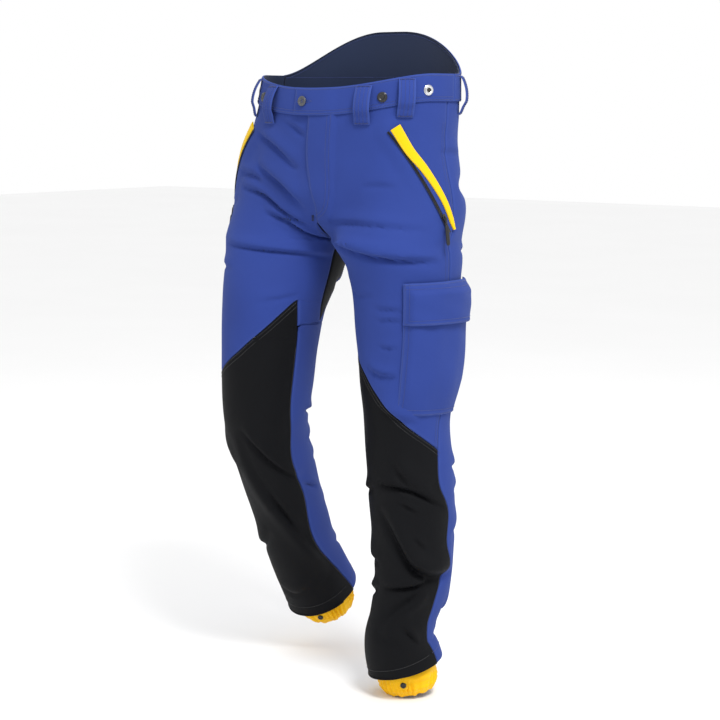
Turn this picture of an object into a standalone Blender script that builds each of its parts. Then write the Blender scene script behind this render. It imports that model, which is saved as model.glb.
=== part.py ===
"""Chainsaw protective trousers, worn shape: the left leg nearly straight, the right knee bent.

Metres, +Z up. The origin is the centre of the waist opening, the front faces -Y and the wearer's left is +X.
Every sewn panel is a patch of one surface, the cloth's outer face, which cloth() gives for each half of the
garment: u runs round that half, 0 at the front centre or inner leg, 0.25 at the front crease, 0.5 at the side
seam and 1 at the back centre or inner leg again, and z runs down it.
"""

from math import cos, pi, sin

import bmesh
import bpy
import numpy as np
from mathutils import Matrix, Vector

# ---------------------------------------------------------------- driving dimensions
CROTCH = -0.28          # height of the crotch point
CROTCH_ROUND = 0.10     # height over which the centre seams round under into the crotch
HIP_BLEND = 0.20        # height over which the sides turn from seat to leg
SEAT_SQUARENESS = 2.3   # superellipse exponents
LEG_SQUARENESS = 2.15

CLOTH = 0.0024          # shell fabric, two layers at a seam
SEAM_GAP = 0.0012       # half the gap between two neighbouring panels
BAND_HEIGHT = 0.047     # waistband
BAND_THICK = 0.0030
BAND_LIFT = 0.0034      # waistband's outer face above the cloth
KIDNEY_RISE = 0.078     # raised back above the waistband
KIDNEY_LEAN = -0.03     # its peak lies this far round to the wearer's right
KIDNEY_REACH = 0.46

LOOP_WIDTH, LOOP_LENGTH, LOOP_STAND, LOOP_THICK = 0.029, 0.067, 0.0155, 0.0018
LOOPS = {"belt_loop_left_1": 0.155, "belt_loop_left_2": 0.305, "belt_loop_left_3": 0.62,
         "belt_loop_right_1": -0.155, "belt_loop_right_2": -0.305, "belt_loop_right_3": -0.62,
         "belt_loop_back": 1.0}
BUTTON_RADIUS, BRACE_RADIUS = 0.0088, 0.0058

GROIN_INNER, GROIN_RISE = -0.265, 0.050   # lower edge of the seat panels, at the crotch and its rise to the side
THIGH_INNER, THIGH_RISE = -0.440, 0.105   # upper edge of the thigh panels
KNEE_HALF = 0.065                          # half the height of the flexing stretch at the knee
KNEE = {+1: -0.700, -1: -0.640}
HEM = {+1: -1.030, -1: -0.970}
BLACK_INNER = {+1: -0.440, -1: -0.357}    # top of the black front panel at the inner leg
BLACK_DROP = {+1: 0.425, -1: 0.490}        # and how fast it falls with u towards the side seam
INSEAM = 0.03                              # the black panel's inner edge, just in front of the inner leg

PAD_LIFT, PAD_THICK = -0.0058, 0.006       # saw-protection pad inside the front of each leg
GAITER_PROFILE = ((-0.080, 0.0400), (-0.050, 0.0420), (-0.020, 0.0470), (0.005, 0.0515),
                  (0.022, 0.0525), (0.036, 0.0490), (0.044, 0.0430))   # distance past the hem, radius
GAITER_THICK = 0.002
HOOK_AT = {+1: 0.33, -1: 0.19}

POCKET_WELT = ((0.270, -0.084), (0.333, -0.123), (0.400, -0.158), (0.456, -0.202), (0.500, -0.256))
WELT_WIDTHS = (0.0180, 0.0090)
ZIP_WIDTH, ZIP_THICK = 0.0060, 0.0016
ZIP_ASIDE = 0.0136      # the zip's centre line beside the welt's
ZIP_LIFT = 0.0056       # its outer face above the cloth
SLIDER = (0.0075, 0.0120, 0.0026)
SLIDER_CLEAR = 0.0022   # gap between the slider and the zip it rides on
PULLER = (0.0064, 0.0480, 0.0026)

CARGO_U, CARGO_TOP, CARGO_BOTTOM = 0.488, -0.362, -0.575
CARGO_HALF_WIDTH = 0.084
CARGO_DEPTH = 0.0100
FLAP_TOP, FLAP_BOTTOM = -0.346, -0.421

# Seat rings: z, front depth, back depth, centre x, centre y.
SEAT = ((0.09, 0.118, 0.118, 0.000, 0.004),
        (0.00, 0.122, 0.118, 0.000, 0.000),
        (-0.06, 0.127, 0.122, -0.002, -0.001),
        (-0.14, 0.124, 0.129, -0.008, -0.004),
        (-0.22, 0.118, 0.137, -0.014, -0.012),
        (-0.28, 0.105, 0.140, -0.020, -0.030))
# Half width of each side, and how far that hip swings forward: z, width, sway.
HIP = {+1: ((0.09, 0.184, 0.0), (0.00, 0.189, 0.0), (-0.06, 0.1905, 0.0),
            (-0.14, 0.1895, -0.002), (-0.20, 0.1935, -0.003), (-0.27, 0.206, -0.002), (-0.33, 0.212, 0.0)),
       -1: ((0.09, 0.184, 0.0), (0.00, 0.188, 0.0), (-0.06, 0.197, -0.004),
            (-0.14, 0.213, -0.020), (-0.22, 0.217, -0.028), (-0.33, 0.214, -0.030))}
# Leg rings: z, centre x outwards, centre y, half width, half depth.
LEG = {+1: ((-0.28, 0.116, 0.013, 0.108, 0.109), (-0.31, 0.130, 0.018, 0.095, 0.103),
            (-0.34, 0.132, 0.019, 0.091, 0.098), (-0.39, 0.134, 0.018, 0.089, 0.094),
            (-0.46, 0.1375, 0.016, 0.085, 0.091), (-0.53, 0.1415, 0.010, 0.079, 0.084),
            (-0.60, 0.142, 0.007, 0.072, 0.076), (-0.67, 0.148, 0.008, 0.073, 0.076),
            (-0.74, 0.152, 0.010, 0.074, 0.074), (-0.81, 0.155, 0.010, 0.070, 0.071),
            (-0.88, 0.156, 0.006, 0.064, 0.066), (-0.945, 0.146, -0.010, 0.056, 0.058),
            (-0.98, 0.143, -0.014, 0.060, 0.062), (-1.03, 0.151, -0.005, 0.064, 0.067)),
       -1: ((-0.28, 0.112, -0.010, 0.112, 0.108), (-0.33, 0.113, -0.030, 0.098, 0.103),
            (-0.39, 0.117, -0.043, 0.088, 0.098), (-0.46, 0.122, -0.050, 0.081, 0.092),
            (-0.53, 0.125, -0.054, 0.078, 0.086),
            (-0.60, 0.130, -0.054, 0.073, 0.079), (-0.64, 0.132, -0.046, 0.069, 0.074),
            (-0.70, 0.135, -0.022, 0.068, 0.070), (-0.76, 0.138, 0.006, 0.066, 0.068),
            (-0.82, 0.140, 0.034, 0.065, 0.067), (-0.88, 0.142, 0.064, 0.063, 0.066),
            (-0.93, 0.141, 0.094, 0.064, 0.068), (-0.97, 0.139, 0.118, 0.066, 0.070))}

SIDES = {"left": +1, "right": -1}
BLUE = (0.052, 0.082, 0.330)
BLACK = (0.012, 0.013, 0.016)
NAVY = (0.018, 0.028, 0.068)
YELLOW = (0.900, 0.620, 0.010)
PAD_WHITE = (0.700, 0.700, 0.640)
STEEL = (0.550, 0.550, 0.560)
BUTTON_GREY = (0.040, 0.042, 0.050)


# ---------------------------------------------------------------- scene and materials
def clear_scene():
    for old in list(bpy.data.objects):
        bpy.data.objects.remove(old, do_unlink=True)


clear_scene()
PARTS = bpy.data.collections.new("chainsaw_trousers")
bpy.context.scene.collection.children.link(PARTS)


def material(name, colour, roughness=0.85, metallic=0.0):
    made = bpy.data.materials.new(name)
    made.use_nodes = True
    shader = made.node_tree.nodes["Principled BSDF"]
    shader.inputs["Base Color"].default_value = (*colour, 1)
    shader.inputs["Roughness"].default_value = roughness
    shader.inputs["Metallic"].default_value = metallic
    return made


MATERIALS = {
    "blue": material("blue_stretch_cloth", BLUE),
    "black": material("black_outer_cloth", BLACK, 0.75),
    "navy": material("navy_lining", NAVY, 0.9),
    "yellow": material("yellow_trim", YELLOW, 0.8),
    "pad": material("saw_pad_fibre", PAD_WHITE, 0.95),
    "steel": material("nickel", STEEL, 0.3, 1.0),
    "zip": material("zip_black", BLACK, 0.5),
    "button": material("button_grey", BUTTON_GREY, 0.4),
}


# ---------------------------------------------------------------- the cloth's surface
def smooth(t):
    t = np.clip(t, 0, 1)
    return t * t * (3 - 2 * t)


def along(stations, z):
    """The rows of a table of stations read at heights z, on a smooth curve through them."""
    rows = np.array(stations, float)
    depth = -rows[:, 0]
    at = np.clip(-np.asarray(z, float), depth[0], depth[-1])
    i = np.clip(np.searchsorted(depth, at, side="right") - 1, 0, len(rows) - 2)
    step = np.diff(depth)
    slope = np.diff(rows, axis=0) / step[:, None]
    tangent = np.empty_like(rows)
    tangent[0], tangent[-1] = slope[0], slope[-1]
    before, after = step[:-1, None], step[1:, None]
    tangent[1:-1] = (slope[:-1] * after + slope[1:] * before) / (before + after)
    t = ((at - depth[i]) / step[i])[..., None]
    span = step[i][..., None]
    return ((1 + 2 * t) * (1 - t) ** 2 * rows[i] + t * (1 - t) ** 2 * span * tangent[i]
            + t * t * (3 - 2 * t) * rows[i + 1] + t * t * (t - 1) * span * tangent[i + 1])


def rounded(x, squareness):
    return np.sign(x) * np.abs(x) ** (2 / squareness)


def half_point(side, u, z):
    """The cloth on one half of the garment, u from 0 to 1."""
    ring = np.maximum(z, CROTCH)
    seat, hip = along(SEAT, ring), along(HIP[side], ring)
    front, back, mid_x, mid_y = (seat[..., k] for k in range(1, 5))
    c, s = np.cos(pi * u), np.sin(pi * u)
    seat_x = hip[..., 1] * rounded(s, SEAT_SQUARENESS)
    seat_y = hip[..., 2] * s * s - rounded(c, SEAT_SQUARENESS) * np.where(c > 0, front, back)

    low = np.minimum(z, CROTCH)
    nudge = 0.001
    above, below = along(LEG[side], np.minimum(low + nudge, CROTCH)), along(LEG[side], low - nudge)
    fall = above[..., 0] - below[..., 0] + 1e-9
    free = smooth((CROTCH - low) / 0.12)
    lean_x = np.arctan((above[..., 1] - below[..., 1]) / fall) * free
    lean_y = np.arctan((above[..., 2] - below[..., 2]) / fall) * free
    leg = along(LEG[side], low)
    across = -leg[..., 3] * rounded(np.cos(2 * pi * u), LEG_SQUARENESS)
    deep = -leg[..., 4] * rounded(np.sin(2 * pi * u), LEG_SQUARENESS)
    leg_x = leg[..., 1] + across * np.cos(lean_x)
    leg_y = leg[..., 2] * (free + (1 - free) * s * s) + deep * np.cos(lean_y)
    leg_z = low - across * np.sin(lean_x) - deep * np.sin(lean_y)

    under = np.clip((z - CROTCH) / CROTCH_ROUND, 0, 1)
    centre = 1 - np.sqrt(np.clip(1 - (1 - under) ** 2, 0, 1))
    sides = 1 - smooth((z - CROTCH) / HIP_BLEND)
    at_seam = np.abs(c) ** 3
    leggy = np.where(z > CROTCH, at_seam * centre + (1 - at_seam) * sides, 1)
    x = (1 - leggy) * seat_x + leggy * leg_x
    y = (1 - leggy) * seat_y + leggy * leg_y
    return np.stack([side * x + mid_x, y + mid_y, np.where(z > CROTCH, z, leg_z)], -1)


def point(side, u, z):
    """The cloth at any u: past the centre seams it carries on into the other half, and round a leg it repeats."""
    u, z = np.broadcast_arrays(np.asarray(u, float), np.asarray(z, float))
    on_leg = z <= CROTCH
    u = np.where(on_leg, u % 1, u)
    crossed = (u < 0) | (u > 1)
    u = np.where(u < 0, -u, np.where(u > 1, 2 - u, u))
    here, there = half_point(side, u, z), half_point(-side, u, z)
    return np.where(crossed[..., None], there, here)


def normal(side, u, z):
    e = 0.004
    round_it = point(side, np.asarray(u) + e, z) - point(side, np.asarray(u) - e, z)
    up_it = point(side, u, np.asarray(z) + e) - point(side, u, np.asarray(z) - e)
    out = side * np.cross(round_it, up_it)
    return out / np.linalg.norm(out, axis=-1, keepdims=True)


def cloth(side, u, z, lift=0.0):
    return point(side, u, z) + normal(side, u, z) * np.asarray(lift)[..., None]


# ---------------------------------------------------------------- making objects
def place(name, mesh, look, smooth_angle=40):
    made = bpy.data.objects.new(name, mesh)
    PARTS.objects.link(made)
    mesh.materials.append(MATERIALS[look])
    mesh.shade_smooth()
    mesh.set_sharp_from_angle(angle=smooth_angle * pi / 180)
    return made


def loft(name, points, look, thick, ring=False):
    """A shell from rows of points, its outer face on them and its thickness inwards."""
    rows, columns = points.shape[:2]
    work = bmesh.new()
    grid = [[work.verts.new(p) for p in row] for row in points]
    last = columns if ring else columns - 1
    for i in range(rows - 1):
        for j in range(last):
            k = (j + 1) % columns
            work.faces.new((grid[i][j], grid[i][k], grid[i + 1][k], grid[i + 1][j]))
    mesh = bpy.data.meshes.new(name)
    work.to_mesh(mesh)
    work.free()
    made = place(name, mesh, look)
    shell = made.modifiers.new("shell", "SOLIDIFY")
    shell.thickness = thick
    shell.offset = -1
    return made


def height(value, u):
    return value(u) if callable(value) else np.full_like(u, value)


def panel(name, side, u0, u1, bottom, top, look, lift=0.0, thick=CLOTH, across=7, down=7, seams=True,
          near_edge=None):
    """A sewn panel between two heights, each a number or a rule in u. The rows run from the bottom up.

    near_edge, a rule in z, moves the edge at u0 sideways.
    """
    gap = SEAM_GAP if seams else 0.0
    u = np.linspace(u0, u1, across + 1)
    low, high = height(bottom, u) + gap, height(top, u) - gap
    t = np.linspace(0, 1, down + 1)[:, None]
    z = low + (high - low) * t
    rise = lift(u, t) if callable(lift) else np.full(z.shape, lift)
    u = np.broadcast_to(u, z.shape)
    if near_edge:
        edge = near_edge(z)
        u = edge + (u - u0) * (u1 - edge) / (u1 - u0)
    points = cloth(side, u, z, rise)
    if side < 0:
        points = points[:, ::-1]
    return loft(name, points, look, thick)


def frames(points, normals):
    """Unit directions along a route and across it, square to the normals."""
    ahead = np.gradient(points, axis=0)
    ahead /= np.linalg.norm(ahead, axis=1, keepdims=True)
    across = np.cross(normals, ahead)
    across /= np.linalg.norm(across, axis=1, keepdims=True)
    return ahead, across


def strip(name, route, normals, widths, look, thick, aside=0.0, lift=0.0):
    """A flat strip along a route: widths may change along it, and aside and lift move it off the route."""
    _, across = frames(route, normals)
    middle = route + across * aside + normals * lift
    half = np.broadcast_to(np.asarray(widths, float), (len(route),))[:, None] / 2
    points = np.stack([middle + across * half, middle, middle - across * half], 1)
    return loft(name, points, look, thick)


def turned(name, centre, axis, profile, look, sides=16):
    """A turned piece: profile is (radius, distance along axis), from its inner end to its outer end."""
    curve = bmesh.new()
    rail = [curve.verts.new((r, 0, h)) for r, h in profile[::-1]]
    for a, b in zip(rail, rail[1:]):
        curve.edges.new((a, b))
    mesh = bpy.data.meshes.new(name)
    curve.to_mesh(mesh)
    curve.free()
    made = place(name, mesh, look)
    screw = made.modifiers.new("turn", "SCREW")
    screw.steps = screw.render_steps = sides
    screw.use_merge_vertices = True
    screw.merge_threshold = 0.00005
    turn = Vector((0, 0, 1)).rotation_difference(Vector(axis)).to_matrix().to_4x4()
    made.matrix_world = Matrix.Translation(Vector(centre)) @ turn
    return made


def block(name, centre, ahead, up, size, look, bevel):
    """A rounded block: size is across, ahead and up."""
    bpy.ops.mesh.primitive_cube_add(size=1)
    made = bpy.context.object
    made.name = made.data.name = name
    for owner in list(made.users_collection):
        owner.objects.unlink(made)
    PARTS.objects.link(made)
    made.data.materials.append(MATERIALS[look])
    made.data.transform(Matrix.Diagonal((*size, 1)))
    y, z = Vector(ahead).normalized(), Vector(up).normalized()
    x = y.cross(z)
    turn = Matrix((x, y, z)).transposed().to_4x4()
    made.matrix_world = Matrix.Translation(Vector(centre)) @ turn
    soft = made.modifiers.new("edges", "BEVEL")
    soft.width = bevel
    soft.segments = 2
    return made


# ---------------------------------------------------------------- edges that several panels share
def waist_top(u):
    """The waistband's upper edge: low at the front, level from the hips back."""
    return -0.018 + 0.024 * smooth(np.abs(u) / 0.42)


def band_bottom(u):
    return waist_top(u) - BAND_HEIGHT


def kidney_top(v):
    """The raised back's edge. v is measured from the back centre, positive to the wearer's left."""
    return waist_top(0.5) + KIDNEY_RISE * smooth(1.06 * (1 - np.abs(v - KIDNEY_LEAN) / KIDNEY_REACH))


def groin(u):
    return GROIN_INNER + GROIN_RISE * np.sin(pi * u)


def thigh_top(u):
    return THIGH_INNER + THIGH_RISE * np.sin(pi * u)


def black_top(side):
    return lambda u: BLACK_INNER[side] - BLACK_DROP[side] * np.asarray(u)


def knee_top(side):
    return KNEE[side] + KNEE_HALF


def knee_bottom(side):
    return KNEE[side] - KNEE_HALF


# ---------------------------------------------------------------- seat, fly and waist
FLY_HALF = 0.022        # half width of the gap that the fly zip closes, as u on each side
FLY_TOP, FLY_BOTTOM = -0.070, -0.236


def front_edge(z):
    """The front panels' centre edge: it opens for the zip, and closes to the seam below the fly."""
    return 0.004 + (FLY_HALF - 0.004) * smooth((z - FLY_BOTTOM) / 0.02)


def seat_panels():
    for word, side in SIDES.items():
        panel(f"{word}_front_panel", side, FLY_HALF, 0.497, groin, band_bottom, "blue", down=10,
              near_edge=front_edge)
        panel(f"{word}_seat_panel", side, 0.503, 0.997, groin, band_bottom, "blue", down=8)


def fly():
    """The fly, outside in: placket, slider, zip and shield. The zip runs straight down the front centre."""
    t = np.linspace(0, 1, 9)
    z = FLY_TOP + (FLY_BOTTOM + 0.012 - FLY_TOP) * t
    u = np.zeros_like(z)
    facing = normal(+1, u, z)
    ends = cloth(+1, u[[0, -1]], z[[0, -1]])
    line = ends[0] + (ends[1] - ends[0]) * t[:, None]
    outward = np.cross((ends[1] - ends[0]), (1, 0, 0))
    outward /= np.linalg.norm(outward)
    if outward[1] > 0:
        outward = -outward
    flat = np.broadcast_to(outward, facing.shape)
    strip("fly_zip", line, flat, 0.018, "zip", 0.0012, lift=-0.0030)
    strip("fly_shield", line, flat, 0.044, "blue", 0.0016, lift=-0.0072)
    ahead = (ends[1] - ends[0]) / np.linalg.norm(ends[1] - ends[0])
    block("fly_slider", ends[0] + ahead * 0.014 + outward * -0.0013, ahead, outward,
          (0.0080, 0.0150, 0.0028), "steel", 0.0006)
    panel("fly_placket", +1, -0.004, 0.066, FLY_BOTTOM, lambda v: band_bottom(v) - 0.001, "blue",
          lift=lambda v, s: np.full((len(s), len(v)), 0.0056), thick=0.0016, across=3, down=9)


def waistband():
    def lifted(v, s):
        return np.full((len(s), len(v)), BAND_LIFT)

    def tab(v, s):
        """The left band's end lies over the right band."""
        raised = BAND_LIFT + (BAND_THICK + 0.0006) * (1 - smooth((v - 0.03) / 0.05))
        return np.broadcast_to(raised, (len(s), len(v)))

    panel("waistband_left", +1, -0.050, 0.527, band_bottom, waist_top, "blue", tab, BAND_THICK, 12, 3)
    panel("waistband_right", -1, 0.012, 0.527, band_bottom, waist_top, "blue", lifted, BAND_THICK, 10, 3)
    top = lambda v: kidney_top(1 - v)
    panel("kidney_panel", +1, 0.531, 1.469, lambda v: np.full_like(v, band_bottom(0.5)), top, "blue",
          lifted, BAND_THICK, 16, 5)
    panel("kidney_lining", +1, 0.535, 1.465, lambda v: np.full_like(v, band_bottom(0.5)),
          lambda v: top(v) - 0.002, "navy", -0.0002, 0.0014, 16, 5)


def belt_loops():
    t = np.linspace(0, 1, 9)
    for name, v in LOOPS.items():
        side = 1 if v > 0 else -1
        u = abs(v)
        top = waist_top(min(u, 0.5)) - 0.003
        z = top - LOOP_LENGTH * (1 - t)
        stand = BAND_LIFT + LOOP_THICK + 0.0005 + (LOOP_STAND - BAND_LIFT) * np.sin(pi * t) ** 0.8
        middle = cloth(side, np.full_like(z, u), z, stand)
        out = normal(side, np.full_like(z, u), np.full_like(z, top - LOOP_LENGTH / 2))
        across = np.cross((0, 0, 1), out)
        across /= np.linalg.norm(across, axis=1, keepdims=True)
        spread = np.linspace(-0.5, 0.5, 3)[None, :, None] * LOOP_WIDTH
        loft(name, middle[:, None, :] + across[:, None, :] * spread, "blue", LOOP_THICK)


def fasteners():
    button = ((0, 0), (BUTTON_RADIUS - 0.001, 0), (BUTTON_RADIUS, 0.0008), (BUTTON_RADIUS, 0.0022),
              (BUTTON_RADIUS - 0.001, 0.0030), (0, 0.0030))
    brace = ((0, 0), (BRACE_RADIUS - 0.001, 0), (BRACE_RADIUS, 0.0008), (BRACE_RADIUS, 0.0022),
             (BRACE_RADIUS - 0.0008, 0.0030), (0, 0.0030))
    tab_lift = BAND_LIFT + BAND_THICK + 0.0006 + 0.0006

    def on_band(name, side, u, z, lift, profile, look):
        at = cloth(side, u, z, lift)
        turned(name, at, normal(side, u, z), profile, look)

    on_band("waist_button", +1, np.array(-0.022), np.array(-0.041), tab_lift + 0.0004, button, "button")
    for word, side in SIDES.items():
        on_band(f"{word}_brace_button_inner", side, np.array(0.218), np.array(-0.034),
                BAND_LIFT + 0.0006, brace, "zip")
        on_band(f"{word}_brace_button_outer", side, np.array(0.395), np.array(-0.022),
                BAND_LIFT + 0.0006, brace, "steel")


# ---------------------------------------------------------------- hip pockets
def route_on_cloth(side, knots, count):
    """Points and normals on a smooth curve through (u, z) knots."""
    knots = np.array(knots, float)
    order = np.linspace(0, 1, len(knots))
    rows = np.column_stack([-order, knots])
    read = along(rows, -np.linspace(0, 1, count))
    u, z = read[:, 1], read[:, 2]
    return cloth(side, u, z), normal(side, u, z)


def circle_through(a, b, c):
    """Centre and axis of the circle through three points."""
    ab, ac = b - a, c - a
    axis = np.cross(ab, ac)
    centre = a + (np.cross(axis, ab) * ac.dot(ac) + np.cross(ac, axis) * ab.dot(ab)) / (2 * axis.dot(axis))
    return centre, axis / np.linalg.norm(axis)


def arc_points(a, b, c, count):
    centre, axis = circle_through(a, b, c)
    whole = Vector(a - centre).angle(Vector(b - centre)) + Vector(b - centre).angle(Vector(c - centre))
    turn = [Matrix.Rotation(whole * k / (count - 1), 3, Vector(axis)) for k in range(count)]
    return centre, axis, np.array([centre + np.array(m @ Vector(a - centre)) for m in turn])


def hip_pocket(word, side):
    """Yellow welt, the zip beside it on a true arc that the slider can follow, the slider, its puller and the bag."""
    route, facing = route_on_cloth(side, POCKET_WELT, 15)
    widths = np.linspace(*WELT_WIDTHS, len(route))
    strip(f"{word}_pocket_welt", route, facing, widths, "yellow", 0.0016, lift=0.0030)
    _, across = frames(route, facing)
    down = -across * np.sign(across[7, 2])
    aside = route + down * ZIP_ASIDE + facing * ZIP_LIFT
    _, _, lifted = arc_points(aside[0], aside[7], aside[14], 15)
    strip(f"{word}_pocket_zip", lifted, facing, ZIP_WIDTH, "zip", ZIP_THICK)
    ahead, _ = frames(lifted, facing)
    start = 12
    seat = lifted[start] + facing[start] * (SLIDER_CLEAR + SLIDER[2] / 2)
    block(f"{word}_pocket_slider", seat, ahead[start], facing[start], SLIDER, "zip", 0.0006)
    hang = np.array((0, 0, -1.0))
    hang -= facing[start] * hang.dot(facing[start])
    hang /= np.linalg.norm(hang)
    grip = seat + facing[start] * (SLIDER[2] / 2 + PULLER[2] / 2 + 0.0008) + hang * (PULLER[1] - PULLER[2]) / 2
    block(f"{word}_pocket_puller", grip, hang, facing[start], PULLER, "zip", 0.0005)
    panel(f"{word}_pocket_bag", side, 0.20, 0.46, lambda u: np.full_like(u, -0.215),
          lambda u: np.full_like(u, -0.085), "black", -0.0062, 0.0012, 4, 4, seams=False)


# ---------------------------------------------------------------- legs
def hip_and_gusset(word, side):
    panel(f"{word}_hip_cloth", side, 0.082, 0.918, thigh_top, groin, "blue", across=16, down=4)
    panel(f"{word}_gusset", side, -0.078, 0.078, lambda u: thigh_top(np.abs(u)),
          lambda u: np.full_like(u, CROTCH - 0.015), "black", across=4, down=3)


def thigh(word, side):
    crossing = black_top(side)
    black_high = lambda u: np.minimum(crossing(u), thigh_top(u))
    along_seam = np.linspace(INSEAM, 0.497, 60)
    starts = along_seam[np.argmax(crossing(along_seam) < thigh_top(along_seam) - 0.006)]
    panel(f"{word}_thigh_front", side, starts, 0.497, lambda u: np.maximum(crossing(u), knee_top(side)),
          thigh_top, "blue", across=8, down=5)
    runs_out = (BLACK_INNER[side] - knee_top(side) - 0.008) / BLACK_DROP[side]
    panel(f"{word}_thigh_black", side, INSEAM, min(0.497, runs_out), knee_top(side), black_high, "black",
          across=8, down=5)
    panel(f"{word}_thigh_back", side, 0.503, 1.024, knee_top(side), thigh_top, "blue", across=10, down=5)


def knee(word, side):
    u = np.linspace(0, 1, 19)[:-1]
    z = np.linspace(knee_bottom(side) + SEAM_GAP, knee_top(side) - SEAM_GAP, 6)[:, None]
    points = cloth(side, np.broadcast_to(u, (6, 18)), np.broadcast_to(z, (6, 18)), np.zeros((6, 18)))
    loft(f"{word}_knee_cloth", points[:, ::side], "black", CLOTH, ring=True)


def shin(word, side):
    panel(f"{word}_shin_front", side, INSEAM, 0.497, HEM[side], knee_bottom(side), "black", across=8, down=7)
    panel(f"{word}_shin_back", side, 0.503, 1.024, HEM[side], knee_bottom(side), "blue", across=8, down=7)


def saw_pads(word, side):
    stretches = (("thigh", knee_top(side) + 0.006, -0.455), ("shin", HEM[side] + 0.100, knee_bottom(side)))
    for stretch, low, high in stretches:
        panel(f"{word}_{stretch}_saw_pad", side, 0.06, 0.47, low, high, "pad", PAD_LIFT, PAD_THICK, 8, 6)


def hem_frame(side):
    """The hem's centre, the leg's direction there and two directions square to it, outwards and backwards."""
    ring = point(side, np.linspace(0, 1, 33)[:-1], np.full(32, HEM[side]))
    centre = ring.mean(0)
    higher = point(side, np.linspace(0, 1, 33)[:-1], np.full(32, HEM[side] + 0.07)).mean(0)
    down = (centre - higher) / np.linalg.norm(centre - higher)
    out = np.array((side, 0, 0.0))
    out -= down * out.dot(down)
    out /= np.linalg.norm(out)
    back = np.cross(down, out) * -side
    return centre, down, out, back


def gaiter(word, side):
    centre, down, out, back = hem_frame(side)
    angle = 2 * pi * np.linspace(0, 1, 21)[:-1]
    rows = []
    for past, radius in GAITER_PROFILE[::-1]:
        rows.append(centre + down * past + radius * (-out * np.cos(angle)[:, None] - back * np.sin(angle)[:, None]))
    points = np.array(rows)[:, ::side]
    loft(f"{word}_gaiter", points, "yellow", GAITER_THICK, ring=True)
    at = 2 * pi * HOOK_AT[side]
    facing = -out * cos(at) - back * sin(at)
    spot = centre + down * 0.020 + facing * (0.0525 + 0.0012)
    turned(f"{word}_gaiter_snap", spot, facing,
           ((0, 0), (0.0052, 0), (0.0052, 0.0012), (0.0035, 0.0026), (0, 0.0026)), "zip", 12)


# ---------------------------------------------------------------- cargo pocket
def cargo():
    def half(z):
        """Half the pocket's width, as u, where the leg is this wide."""
        ring = along(LEG[+1], z)
        return CARGO_HALF_WIDTH / (2 * pi * (ring[..., 3] + ring[..., 4]) / 2)

    s = np.linspace(-1, 1, 11)
    t = np.linspace(0, 1, 9)[:, None]

    def puffed(name, bottom, top, rise, look, thick, edge):
        z = bottom + (top - bottom) * np.broadcast_to(t, (9, 11))
        u = CARGO_U + s * half(z)
        sides = smooth((1 - np.abs(s)) / 0.22)
        points = cloth(+1, u, z, edge + rise(t) * sides)
        return loft(name, points, look, thick)

    puffed("cargo_pocket", CARGO_BOTTOM, CARGO_TOP,
           lambda t: CARGO_DEPTH * smooth(t / 0.30) * (1 - 0.35 * smooth((t - 0.80) / 0.20)), "blue", 0.0022, 0.0037)
    over = CARGO_DEPTH + 0.0036
    puffed("cargo_flap", FLAP_BOTTOM, FLAP_TOP,
           lambda t: over - (over - 0.0005) * smooth((t - 0.70) / 0.30), "blue", 0.0022, 0.0068)


seat_panels()
fly()
waistband()
belt_loops()
fasteners()
for word, side in SIDES.items():
    hip_pocket(word, side)
    hip_and_gusset(word, side)
    thigh(word, side)
    knee(word, side)
    shin(word, side)
    saw_pads(word, side)
    gaiter(word, side)
cargo()
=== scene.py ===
"""The looks of a pair of chainsaw protective trousers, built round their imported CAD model.

Metres, +Z up, the front faces -Y and the wearer's left is +X. Every panel of cloth is a patch of one surface,
the CAD's own: u runs round one half of the garment, 0 at the front centre or inner leg, 0.25 at the front
crease, 0.5 at the side seam and 1 at the back centre or inner leg again, and z runs down it. relief() lays the
folds on it. A side is +1 for the wearer's left and -1 for the right.
"""

from math import cos, pi, radians, sin

import bpy
import numpy as np
from mathutils import Matrix, Vector


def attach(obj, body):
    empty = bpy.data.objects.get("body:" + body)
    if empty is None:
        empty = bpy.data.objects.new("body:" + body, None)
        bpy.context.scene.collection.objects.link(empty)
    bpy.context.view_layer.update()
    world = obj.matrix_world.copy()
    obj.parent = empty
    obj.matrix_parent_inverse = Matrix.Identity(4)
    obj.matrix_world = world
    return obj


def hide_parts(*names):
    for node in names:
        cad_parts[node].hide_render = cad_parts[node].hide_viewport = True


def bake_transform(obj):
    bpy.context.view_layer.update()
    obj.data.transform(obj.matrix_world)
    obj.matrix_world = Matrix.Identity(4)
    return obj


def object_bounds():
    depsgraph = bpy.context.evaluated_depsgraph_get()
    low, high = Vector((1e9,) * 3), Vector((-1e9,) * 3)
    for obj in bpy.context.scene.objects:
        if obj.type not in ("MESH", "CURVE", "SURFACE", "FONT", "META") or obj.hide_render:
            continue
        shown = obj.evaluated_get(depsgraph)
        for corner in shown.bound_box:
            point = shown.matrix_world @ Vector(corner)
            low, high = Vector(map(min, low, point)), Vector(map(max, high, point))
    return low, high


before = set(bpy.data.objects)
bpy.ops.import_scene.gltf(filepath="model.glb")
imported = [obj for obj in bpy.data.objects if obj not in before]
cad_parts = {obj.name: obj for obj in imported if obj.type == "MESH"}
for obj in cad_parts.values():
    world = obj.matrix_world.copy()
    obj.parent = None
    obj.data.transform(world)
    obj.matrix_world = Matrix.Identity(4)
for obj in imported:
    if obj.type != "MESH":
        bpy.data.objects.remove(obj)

CAD_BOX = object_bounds()
SIDES = {"left": +1, "right": -1}

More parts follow.
